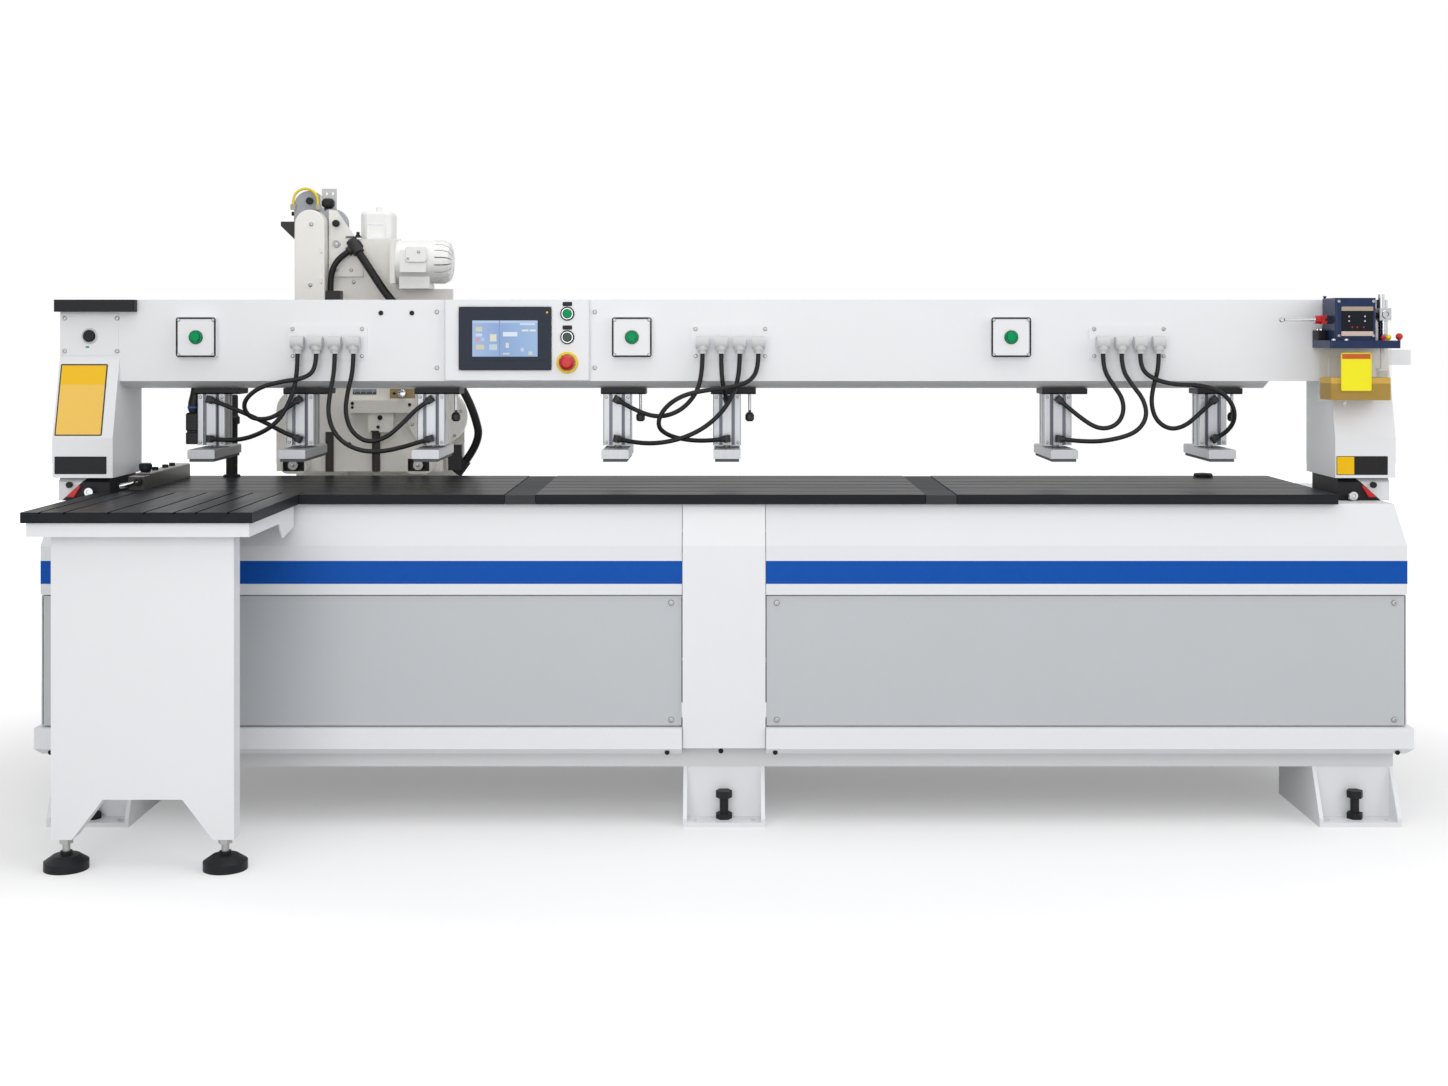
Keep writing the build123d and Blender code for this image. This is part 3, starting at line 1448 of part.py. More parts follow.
with BuildPart() as head_slide:
    block(slide_x, slide_y, (slide_bottom, slide_top))
    block(arm_x, slide_y, (slide_top, arm_top))
    plate_x = (arm_x[1] - motor_plate, arm_x[1])
    block(plate_x, around(motor_y, motor_diameter), around(motor_z, motor_diameter))
    for shift, rise in ((-motor_plate, 2.2), (4 * motor_plate, 1.0)):
        plate_top = arm_top + rise * pulley_plate_radius
        plate_middle = cover_x + shift
        block(around(plate_middle, 2 * pulley_plate_radius), slide_y, (arm_top, plate_top))
        plate_axis = (plate_middle, slide_y[0], plate_top)
        rod(plate_axis, (0, 1, 0), slide_thickness, pulley_plate_radius)
    tie_left = cover_from_head + cover_width / 2 + cover_gap
    tie_outline = [
        (tie_left, tie_plate_bottom),
        (tie_left, tie_plate_top),
        (tie_left + cover_gap * 8, tie_plate_top - cover_gap),
        (tie_plate_foot[1], tie_plate_shoulder),
        (tie_plate_foot[1], tie_plate_bottom),
    ]
    slide_plate(tie_outline, (slide_face - tie_plate_thickness, slide_face))
    wedge_x = cover_from_head - motor_plate - pulley_plate_radius
    wedge_outline = [
        (wedge_x - wedge_reach, slide_arm_height + wedge_height),
        (wedge_x, slide_arm_height + wedge_height),
        (wedge_x, slide_arm_height),
        (wedge_x - wedge_reach, slide_arm_height + wedge_height * 0.75),
    ]
    slide_plate(wedge_outline, slide_y)
    flag_x = around(head_x + flag_from_head, flag_width)
    flag_y = (slide_y[1] - flag_thickness, slide_y[1])
    block(flag_x, flag_y, (arm_top, arm_top + flag_above_arm))
    flag_hole_z = arm_top + flag_above_arm - flag_width / 3
    for hole_x in (flag_x[0] + flag_width / 3, flag_x[1] - flag_width / 4):
        rod((hole_x, flag_y[0], flag_hole_z), (0, 1, 0), flag_thickness, flag_hole / 2, mode=Mode.SUBTRACT)
    for start, after, diameter in (
        (cable_points[0], cable_points[1], cable_diameter),
        (cable_points[-1], cable_points[-2], cable_diameter),
        (relay_points[0], relay_points[1], relay_cable_diameter),
    ):
        aim = (after - start).normalized()
        rod(start - aim * gland_length, aim, gland_length, diameter / 2 + gland_wall)
    cable_box_x = (slide_x[1] - box_lap, slide_x[1] + cable_box_width - box_lap)
    cable_box_z = (slide_bottom - cable_box_drop, slide_bottom - cable_box_drop + cable_box_height)
    block(cable_box_x, (slide_face - cable_box_depth, slide_face), cable_box_z)
    strap_z = (cable_box_z[0], slide_bottom + cable_box_height)
    block((slide_x[1], cable_box_x[1]), (slide_face, slide_face + cable_box_strap), strap_z)
    relay_x = (head_x + tie_left, head_x + tie_left + relay_box_width)
    block(relay_x, (slide_face - cable_box_depth, slide_face), (relay_top - relay_box_height, relay_top))
    for boss_x in (line_left, line_right):
        rod((boss_x, line_y, cover_top + cover_gap), (0, 0, 1), air_boss_height, air_line_diameter)
    for rail_x in lift_rails:
        for shoe_z in (slide_bottom + shoe_height, slide_top - 2.5 * shoe_height):
            shoe_y = (slide_y[1], lift_rail_y[1] - slide_gap / 2)
            block(around(rail_x, shoe_width), shoe_y, around(shoe_z, shoe_height))
            groove_x = around(rail_x, z_rail_size + 2 * slide_clearance)
            groove_y = (lift_rail_y[0] - slide_clearance, lift_rail_y[1])
            block(groove_x, groove_y, around(shoe_z, shoe_height), mode=Mode.SUBTRACT)
    for rod_x in feed_rods:
        bush_start = (rod_x, slide_y[0] - bush_length, feed_rod_z)
        rod(bush_start, (0, 1, 0), bush_length, bush_diameter / 2)
        bore = feed_rod_diameter / 2 + running_clearance
        rod(bush_start, (0, 1, 0), bush_length + slide_thickness, bore, mode=Mode.SUBTRACT)

with BuildPart() as belt_cover:
    cover_straight = (cover_bottom, cover_top - cover_width / 2)
    block(around(cover_x, cover_width), (slide_y[0] - cover_depth, slide_y[0]), cover_straight)
    rod((cover_x, slide_y[0], cover_straight[1]), toward, cover_depth, cover_width / 2)
    fillet(belt_cover.faces().sort_by(Axis.Y)[0].edges(), sheet)

with BuildPart() as drive_motor:
    half_motor = motor_diameter / 2
    motor_profile = [
        (0, 0),
        (half_motor * 0.98, 0),
        (half_motor * 0.98, motor_length),
        (half_motor, motor_length),
        (half_motor, motor_length + cowl_length * 0.55),
        (half_motor * 0.86, motor_length + cowl_length * 0.88),
        (half_motor * 0.6, motor_length + cowl_length),
        (0, motor_length + cowl_length),
    ]
    turned((arm_x[1], motor_y, motor_z), (1, 0, 0), motor_profile)
    terminal_x = around(arm_x[1] + motor_length / 2, motor_length * 0.7)
    terminal_y = (motor_y - half_motor - slide_gap, motor_y - half_motor / 2)
    block(terminal_x, terminal_y, around(motor_z, half_motor))
    pedestal_y = around(motor_y, motor_diameter * 0.7)
    block(around(arm_x[1] + motor_length / 2, pedestal_width), pedestal_y, (slide_top, motor_z))
    cowl_start = arm_x[1] + motor_length + cowl_length * 0.12
    with Locations(Location((cowl_start, motor_y, motor_z), (0, 90, 0))):
        with PolarLocations(half_motor * 0.7, cowl_slots):
            Box(
                half_motor * 0.7,
                cowl_slot_width,
                cowl_length,
                align=(Align.CENTER, Align.CENTER, Align.MIN),
                mode=Mode.SUBTRACT,
            )

# Spindle unit: plate on two feed rods, D-shaped spindle noses, round cover
unit_y = (slide_y[0] - unit_gap - unit_thickness, slide_y[0] - unit_gap)
unit_x = (head_x - unit_left, head_x - unit_left + unit_width)
spindle_middle = head_x + spindle_shift
spindle_xs = (spindle_middle - spindle_spacing / 2, spindle_middle + spindle_spacing / 2)
nose_front = unit_y[0] - nose_length

with BuildPart() as spindle_unit:
    block(unit_x, unit_y, (unit_bottom, unit_bottom + unit_height))
    fillet(spindle_unit.edges().filter_by(Axis.Y).group_by(Axis.Z)[-1], unit_corner)
    disc_start = (head_x + disc_x, unit_y[0] - disc_depth, disc_z)
    rod(disc_start, (0, 1, 0), disc_depth + unit_thickness, disc_diameter / 2)
    with BuildSketch(Plane.XZ.offset(-unit_y[0])):
        with Locations([(x, spindle_z) for x in spindle_xs]):
            RectangleRounded(nose_width, nose_height, nose_corner)
    extrude(amount=nose_length)
    with BuildSketch(Plane.XZ.offset(-nose_front - nose_pocket)):
        with Locations([(x, spindle_z) for x in spindle_xs]):
            RectangleRounded(nose_width - 2 * nose_rim, nose_height - 2 * nose_rim, nose_corner - nose_rim)
    extrude(amount=nose_pocket, mode=Mode.SUBTRACT)
    unit_top = unit_bottom + unit_height
    crossbar_top = unit_top - crossbar_below
    crossbar_bottom = crossbar_top - crossbar_height
    gauge_bottom = crossbar_bottom - gauge_box_height
    for span, depth, low, high in (
        (crossbar_x, crossbar_depth, crossbar_bottom, crossbar_top),
        (gauge_box_x, gauge_box_depth, gauge_bottom, crossbar_bottom),
        (pointer_block_x, pointer_block_depth, crossbar_top, crossbar_top + pointer_block_height),
    ):
        block((head_x + span[0], head_x + span[1]), (unit_y[0] - depth, unit_y[0]), (low, high))
    for bar_x in guard_bars:
        bar_start = (head_x + bar_x, unit_y[0] - guard_bar_diameter / 4, unit_bottom)
        rod(bar_start, (0, 0, 1), gauge_bottom - unit_bottom, guard_bar_diameter / 2)
    for rod_x in feed_rods:
        rod((rod_x, unit_y[1], feed_rod_z), (0, 1, 0), feed_rod_length, feed_rod_diameter / 2)
    for x in spindle_xs:
        bore_length = nose_length + unit_thickness
        bore = spindle_diameter / 2 + running_clearance
        rod((x, nose_front, spindle_z), (0, 1, 0), bore_length, bore, mode=Mode.SUBTRACT)

spindles = []
for x in spindle_xs:
    with BuildPart() as spindle:
        bit_tip = chuck_length + slide_clearance + bit_length
        spindle_profile = [
            (0, 0),
            (bit_diameter / 2, bit_diameter / 2),
            (bit_diameter / 2, bit_length),
            (chuck_diameter / 2, bit_length),
            (chuck_diameter / 2, bit_length + chuck_length),
            (spindle_diameter / 2, bit_length + chuck_length),
            (spindle_diameter / 2, bit_tip + nose_length + unit_thickness),
            (0, bit_tip + nose_length + unit_thickness),
        ]
        turned((x, nose_front - bit_tip, spindle_z), (0, 1, 0), spindle_profile)
    spindles.append(spindle)

frame_solids = frame_posts.part.solids() + frame_long_rails.part.solids() + frame_cross_rails.part.solids()
base_frame = Compound(label="base_frame", children=frame_solids)

pieces = {
    "foot_brackets": foot_brackets,
    "foot_bolts": foot_bolts,
    "upper_hoods": upper_hoods,
    "grey_panels": grey_panels,
    "centre_post": centre_post,
    "lower_skirt": lower_skirt,
    "body_covers": body_covers,
    "table_plates": table_plates,
    "extension_frame": extension_frame,
    "extension_top": extension_top,
    "extension_leg": extension_leg,
    "levelling_studs": levelling_studs,
    "levelling_pads": levelling_pads,
    "stop_fence": stop_fence,
    "stop_knob": stop_knob,
    "columns": columns,
    "column_bases": column_bases,
    "column_cap": column_cap,
    "beam": beam,
    "clamp_rail": clamp_rail,
    "button_boxes": button_boxes,
    "clamp_button_left": clamp_buttons[0],
    "clamp_button_middle": clamp_buttons[1],
    "clamp_button_right": clamp_buttons[2],
    "power_button": power_button,
    "operator_panel": operator_panel,
    "touch_screen": touch_screen,
    "start_button": start_button,
    "stop_button": stop_button,
    "emergency_button": emergency_button,
    "gland_plates": gland_plates,
    "elbow_fittings": elbow_fittings,
    "clamp_mounts": clamp_mounts,
    "clamp_barrels": clamp_barrels,
    "clamp_screws": clamp_screws,
    "clamp_feet_left": foot_groups[0],
    "clamp_feet_middle": foot_groups[1],
    "clamp_feet_right": foot_groups[2],
    "clamp_pads_left": pad_groups[0],
    "clamp_pads_middle": pad_groups[1],
    "clamp_pads_right": pad_groups[2],
    "hoses_left": hose_groups[0],
    "hoses_middle": hose_groups[1],
    "hoses_right": hose_groups[2],
    "pump_housing": pump_housing,
    "pump_reservoir": pump_reservoir,
    "pump_handle": pump_handle,
    "pump_fittings": pump_fittings,
    "rear_rails": rear_rails,
    "drive_screw": drive_screw,
    "head_carriage": head_carriage,
    "lift_motor": lift_motor,
    "head_slide": head_slide,
    "belt_cover": belt_cover,
    "drive_motor": drive_motor,
    "spindle_unit": spindle_unit,
    "spindle_left": spindles[0],
    "spindle_right": spindles[1],
    "head_hoses": head_hoses,
}

os.makedirs("parts", exist_ok=True)
export_step(base_frame, "parts/base_frame.step")
for name, piece in pieces.items():
    piece.part.label = name
    export_step(piece.part, f"parts/{name}.step")
    print(f"{name}: {len(piece.part.solids())} solids")
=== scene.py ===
import math

import bpy
import numpy as np
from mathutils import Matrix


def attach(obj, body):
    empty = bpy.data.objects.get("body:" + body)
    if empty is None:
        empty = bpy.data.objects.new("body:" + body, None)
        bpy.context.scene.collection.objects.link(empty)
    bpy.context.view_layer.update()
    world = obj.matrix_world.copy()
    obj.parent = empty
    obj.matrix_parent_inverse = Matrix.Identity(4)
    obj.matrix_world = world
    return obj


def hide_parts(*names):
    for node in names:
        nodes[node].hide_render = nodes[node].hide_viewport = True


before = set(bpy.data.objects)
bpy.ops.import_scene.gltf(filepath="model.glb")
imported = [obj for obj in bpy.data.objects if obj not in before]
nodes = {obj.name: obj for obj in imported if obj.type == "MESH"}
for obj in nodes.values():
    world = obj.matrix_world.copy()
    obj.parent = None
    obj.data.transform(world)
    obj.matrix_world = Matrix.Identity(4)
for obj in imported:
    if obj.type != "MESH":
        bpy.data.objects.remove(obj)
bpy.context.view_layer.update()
scene = bpy.context.scene
clampX = (-1367, -1130, -781, -285, 8, 890, 1303)  # middles of the clamp cylinders, in mm
print("frame loaded,", len(nodes), "nodes")


# Shader maths: a Socket wraps one output, and arithmetic on it adds Math nodes
class Socket:
    def __init__(self, paint, output):
        self.paint = paint
        self.output = output

    def maths(self, operation, *values):
        return self.paint.node("ShaderNodeMath", {"operation": operation}, *values)

    def __rsub__(self, other):
        return self.maths("SUBTRACT", other, self)


operations = {"__add__": "ADD", "__radd__": "ADD", "__sub__": "SUBTRACT", "__mul__": "MULTIPLY",
              "__rmul__": "MULTIPLY", "__gt__": "GREATER_THAN", "__lt__": "LESS_THAN", "__pow__": "POWER",
              "__abs__": "ABSOLUTE", "mod": "FLOORED_MODULO", "least": "MINIMUM", "most": "MAXIMUM"}
for method, operation in operations.items():
    setattr(Socket, method, lambda self, *other, operation=operation: self.maths(operation, self, *other))


class Paint:
    def __init__(self, name, kind=bpy.data.materials, shader="Principled BSDF"):
        self.owner = kind.new(name)
        self.owner.use_nodes = True
        self.tree = self.owner.node_tree
        self.shader = self.tree.nodes[shader]

    def node(self, kind, settings=None, *values, output=0, **named):
        made = self.tree.nodes.new(kind)
        for key, value in (settings or {}).items():
            if key == "stops":
                while len(made.color_ramp.elements) < len(value):
                    made.color_ramp.elements.new(0.5)
                for stop, (place, colour) in zip(made.color_ramp.elements, value):
                    stop.position = place
                    stop.color = (*colour, 1)
            else:
                setattr(made, key, value)
        for key, value in [*enumerate(values), *named.items()]:
            self.feed(made.inputs[key.replace("_", " ") if isinstance(key, str) else key], value)
        return Socket(self, made.outputs[output])

    def feed(self, socket, value):
        if isinstance(value, Socket):
            self.tree.links.new(value.output, socket)
        elif isinstance(value, (tuple, list)) and len(value) == 3 and socket.type == "RGBA":
            socket.default_value = (*value, 1)
        else:
            socket.default_value = value

    def place(self):
        return self.node("ShaderNodeTexCoord", output="Object")

    def axes(self):
        split = self.node("ShaderNodeSeparateXYZ", None, self.place())
        return [Socket(self, out) for out in split.output.node.outputs]

    def stretched(self, scale):
        return self.node("ShaderNodeMapping", None, self.place(), Scale=scale)

    def noise(self, scale, detail=3.0, rough=0.5, where=None):
        return self.node("ShaderNodeTexNoise", Vector=where or self.place(), Scale=scale, Detail=detail,
                         Roughness=rough)

    def mix(self, share, first, second):
        made = self.node("ShaderNodeMix", {"data_type": "RGBA"}, output=2)
        ends = made.output.node.inputs
        for slot, value in ((0, share), (6, first), (7, second)):
            self.feed(ends[slot], value)
        return made

    def ramp(self, value, *stops):
        return self.node("ShaderNodeValToRGB", {"stops": stops}, value)

    # 1 for the rays that reach the eye straight, by a reflection or through a clear part, otherwise 0
    def seen(self):
        straight, reflected, through = (self.node("ShaderNodeLightPath", output=f"Is {ray} Ray")
                                        for ray in ("Camera", "Glossy", "Transmission"))
        return straight.most(reflected).most(through)

    def bump(self, height, distance, strength):
        return self.node("ShaderNodeBump", Strength=strength, Distance=distance, Height=height)

    def finish(self, **inputs):
        for key, value in inputs.items():
            self.feed(self.shader.inputs[key.replace("_", " ")], value)
        return self.owner


# A colour with every channel taken to a share of itself
def shaded(colour, share):
    return tuple(channel * share for channel in colour)


# Powder coat: a slow drift of tone and fine dust over one colour, with faint orange peel as bump
def powderCoat(name, colour, gloss=0.38, shine=0.5, coat=0.12):
    paint = Paint(name)
    drift = paint.noise(3.1, detail=2.0)
    dust = paint.noise(46.0, detail=4.0, rough=0.6)
    tone = paint.mix(drift * 0.5 + dust * 0.22, colour, shaded(colour, 0.93))
    orangePeel = paint.bump(paint.noise(720.0, detail=2.0), distance=0.00012, strength=0.35)
    return paint.finish(Base_Color=tone, Roughness=gloss + dust * 0.12, Normal=orangePeel,
                        Specular_IOR_Level=shine, Coat_Weight=coat, Coat_Roughness=0.2)


# Moulded plastic: clouds of a deeper tone, with a fine grain as bump
def moulded(name, colour, gloss=0.35, shine=0.4):
    paint = Paint(name)
    cloud = paint.noise(38.0)
    grain = paint.bump(paint.noise(900.0), distance=0.0001, strength=0.3)
    return paint.finish(Base_Color=paint.mix(cloud * 0.5, colour, shaded(colour, 0.82)),
                        Roughness=gloss + cloud * 0.1, Specular_IOR_Level=shine, Normal=grain)


# Drawn metal: noise stretched along one axis for the lines, plus smears of a deeper tone
def drawnMetal(name, colour, gloss, along=(900.0, 900.0, 6.0), deep=0.00006):
    paint = Paint(name)
    lines = paint.noise(1.0, 2.0, 0.6, paint.stretched(along))
    tone = paint.mix(lines * 0.45 + paint.noise(14.0) * 0.3, colour, shaded(colour, 0.72))
    return paint.finish(Base_Color=tone, Metallic=1.0, Roughness=gloss + lines * 0.16,
                        Normal=paint.bump(lines, deep, strength=0.5))


# Rubber and cable sheath: dull, with chalky patches where the cube of a noise is high
def rubberSkin(name, colour, gloss, chalkiness):
    paint = Paint(name)
    chalk = paint.noise(60.0, detail=4.0, rough=0.65)
    tone = paint.mix(chalk ** 3.0, colour, tuple(channel + chalkiness for channel in colour))
    return paint.finish(Base_Color=tone, Roughness=gloss + chalk * 0.2, Specular_IOR_Level=0.22,
                        Normal=paint.bump(paint.noise(500.0), distance=0.0001, strength=0.4))


# Table plates: satin black, rubbed lighter and scratched along one axis; joining plates are plain dark grey
def tableBlack(name, along, joins=()):
    paint = Paint(name)
    x = paint.axes()[0]
    rubScale, scratchScale = (tuple(low if way == along else high for way in range(3))
                              for low, high in ((2.0, 26.0), (9.0, 820.0)))
    rub = paint.noise(1.0, 3.0, 0.6, paint.stretched(rubScale))
    scratch = paint.noise(1.0, 2.0, 0.5, paint.stretched(scratchScale))
    tone = paint.mix(rub * 0.55 + scratch * 0.25, (0.008, 0.009, 0.011), (0.040, 0.042, 0.047))
    rough = 0.24 + rub * 0.2
    for left, right in joins:
        inside = (x > left) * (x < right)
        tone = paint.mix(inside, tone, (0.050, 0.052, 0.056))
        rough = rough + inside * 0.2
    return paint.finish(Base_Color=tone, Roughness=rough, Specular_IOR_Level=0.03,
                        Normal=paint.bump(scratch, distance=0.00008, strength=0.45))


# Hood sheet: white powder coat with one blue stripe between two heights
def stripedHood(name, white, blue, low, high):
    paint = Paint(name)
    height = paint.axes()[2]
    dust = paint.noise(52.0, detail=4.0, rough=0.6)
    ground = paint.mix(paint.noise(2.6, detail=2.0) * 0.5 + dust * 0.22, white, shaded(white, 0.93))
    stripe = paint.mix(dust * 0.6, blue, shaded(blue, 0.8))
    orangePeel = paint.bump(paint.noise(720.0, detail=2.0), distance=0.00012, strength=0.35)
    return paint.finish(Base_Color=paint.mix((height > low) * (height < high), ground, stripe),
                        Roughness=0.36 + dust * 0.12, Normal=orangePeel, Specular_IOR_Level=0.1)


# Zoned coat: a ground colour, then boxes of other colours over it in turn, each open where it gives no bound
def zonedCoat(name, ground, zones, gloss=0.36, groundMetal=0.0):
    paint = Paint(name)
    ways = dict(zip("xyz", paint.axes()))
    dust = paint.noise(44.0, rough=0.6)
    tone, metal = ground, groundMetal
    for zone in zones:
        inside = 1.0
        for way in "xyz":
            low, high = zone.get(way, (None, None))
            if low is not None:
                inside = (ways[way] > low) * inside
            if high is not None:
                inside = (ways[way] < high) * inside
        tone = paint.mix(inside, tone, zone["colour"])
        if "metal" in zone:
            metal = metal + inside * (zone["metal"] - metal)
    worn = paint.mix(dust * 0.10, tone, (0.20, 0.19, 0.17))
    return paint.finish(Base_Color=worn, Metallic=metal, Roughness=gloss + dust * 0.12, Specular_IOR_Level=0.25,
                        Normal=paint.bump(paint.noise(700.0, detail=2.0), distance=0.0001, strength=0.3))


# Base coat: satin black up to a slanted edge, white beyond it; the edge moves out from each column's middle as
# the height falls
def slantedBase(name, black, white, edge):
    paint = Paint(name)
    x, _, z = paint.axes()
    outward = abs(x + edge["shift"]) - edge["middle"]
    beyond = outward > (edge["top"] - z) * edge["slope"] + edge["start"]
    dust = paint.noise(46.0, detail=4.0, rough=0.6)
    tone = paint.mix(dust * 0.2, paint.mix(beyond, black, white), (0.06, 0.06, 0.062))
    return paint.finish(Base_Color=tone, Roughness=0.42 + dust * 0.12, Specular_IOR_Level=0.2)


# Barrel: drawn metal, darker where the distance from the nearest cylinder's middle lies in the groove: painted
# shade in the grooves
def groovedBarrel(name, light, dark, groove):
    paint = Paint(name)
    x = paint.axes()[0]
    lines = paint.noise(1.0, 2.0, 0.6, paint.stretched((900.0, 900.0, 6.0)))
    aside = abs(x - clampX[0] / 1000)
    for middle in clampX[1:]:
        aside = aside.least(abs(x - middle / 1000))
    drawn = paint.mix(lines * 0.4, light, shaded(light, 0.75))
    return paint.finish(Base_Color=paint.mix((aside > groove[0]) * (aside < groove[1]), drawn, dark),
                        Metallic=1.0, Roughness=0.38 + lines * 0.16)


# Clear moulding: one see-through share all over, with a faint film on colour and gloss
def clearMoulding(name, colour, density):
    paint = Paint(name)
    film = paint.noise(25.0)
    return paint.finish(Base_Color=paint.mix(film * 0.4, colour, shaded(colour, 0.92)), Alpha=density, IOR=1.3,
                        Roughness=0.06 + film * 0.06, Specular_IOR_Level=0.25)


# Oil: a deep amber body under a brighter band of painted light at its top, parted at a height, a little clouded
def oilPaint(name, split, deep, bright):
    paint = Paint(name)
    cloud = paint.noise(30.0)
    # Above the split: the brighter band, painted light where the oil's top is lit
    tone = paint.mix(paint.axes()[2] > split, deep, bright)
    return paint.finish(Base_Color=paint.mix(cloud * 0.5, tone, (0.30, 0.17, 0.0)), Alpha=0.94, IOR=1.3,
                        Roughness=0.12 + cloud * 0.06, Specular_IOR_Level=0.05)


# Banded plate: a deep band past the split along one axis, a paler field before it, a line round the edge
def bandedPlate(name, axis, split, deep, pale, line, inside, wear=0.10):
    paint = Paint(name)
    x, _, z = paint.axes()
    grain = paint.noise(90.0)
    field = paint.mix({"x": x, "z": z}[axis] > split, pale, deep)
    left, right, low, high = inside
    kept = (x > left) * (x < right) * (z > low) * (z < high)
    worn = paint.mix(grain * wear, paint.mix(kept, line, field), (0.45, 0.42, 0.36))
    return paint.finish(Base_Color=worn, Roughness=0.34 + grain * 0.12, Specular_IOR_Level=0.2)


# Lubricator's plate: near-black field with a warm strip above one height and a pale one below another
def stripPlate(name, warmAbove, warm, paleBelow, pale):
    paint = Paint(name)
    z = paint.axes()[2]
    cloud = paint.noise(120.0)
    field = paint.mix(cloud * 0.4, (0.008, 0.010, 0.014), (0.02, 0.022, 0.028))
    field = paint.mix(z < paleBelow, paint.mix(z > warmAbove, field, warm), pale)
    return paint.finish(Base_Color=field, Roughness=0.28 + cloud * 0.1, Specular_IOR_Level=0.1)


# Depth scale: dark strip with pale marks at an even step, longer marks at every fifth
def scalePaint(name, step, middle, longer=0.004, width=0.28, start=2.0):
    paint = Paint(name)
    x, _, z = paint.axes()
    shortMark = ((x + start).mod(step) < step * width) * (z > middle)
    longMark = ((x + start).mod(step * 5) < step * width) * (z > middle - longer)
    tone = paint.mix(shortMark.most(longMark), (0.05, 0.07, 0.10), (0.72, 0.74, 0.76))
    return paint.finish(Base_Color=tone, Roughness=0.4)


# Screen glass: a pale blue field shaded from left to right between edges in mm, with plain blocks laid out as
# buttons and lamps, each from left to right and low to high in shares of the screen
def screenGlass(name, left, right, low, high, blocks):
    paint = Paint(name)
    x, _, z = paint.axes()
    across = (x - left / 1000) * (1000 / (right - left))
    up = (z - low / 1000) * (1000 / (high - low))
    tone = paint.ramp(across + up * 0.12, (0.0, (0.34, 0.47, 0.72)), (0.5, (0.20, 0.34, 0.62)),
                      (1.0, (0.29, 0.45, 0.72)))
    for first, last, bottom, top, colour in blocks:
        inside = (across > first) * (across < last) * (up > bottom) * (up < top)
        tone = paint.mix(inside, tone, colour)
    return paint.finish(Base_Color=(0.02, 0.03, 0.05), Roughness=0.12, Emission_Color=tone,
                        Emission_Strength=0.85)


# Each row of a table goes to its maker, by name
def make(maker, table):
    return {name: maker(name, **settings) for name, settings in table.items()}


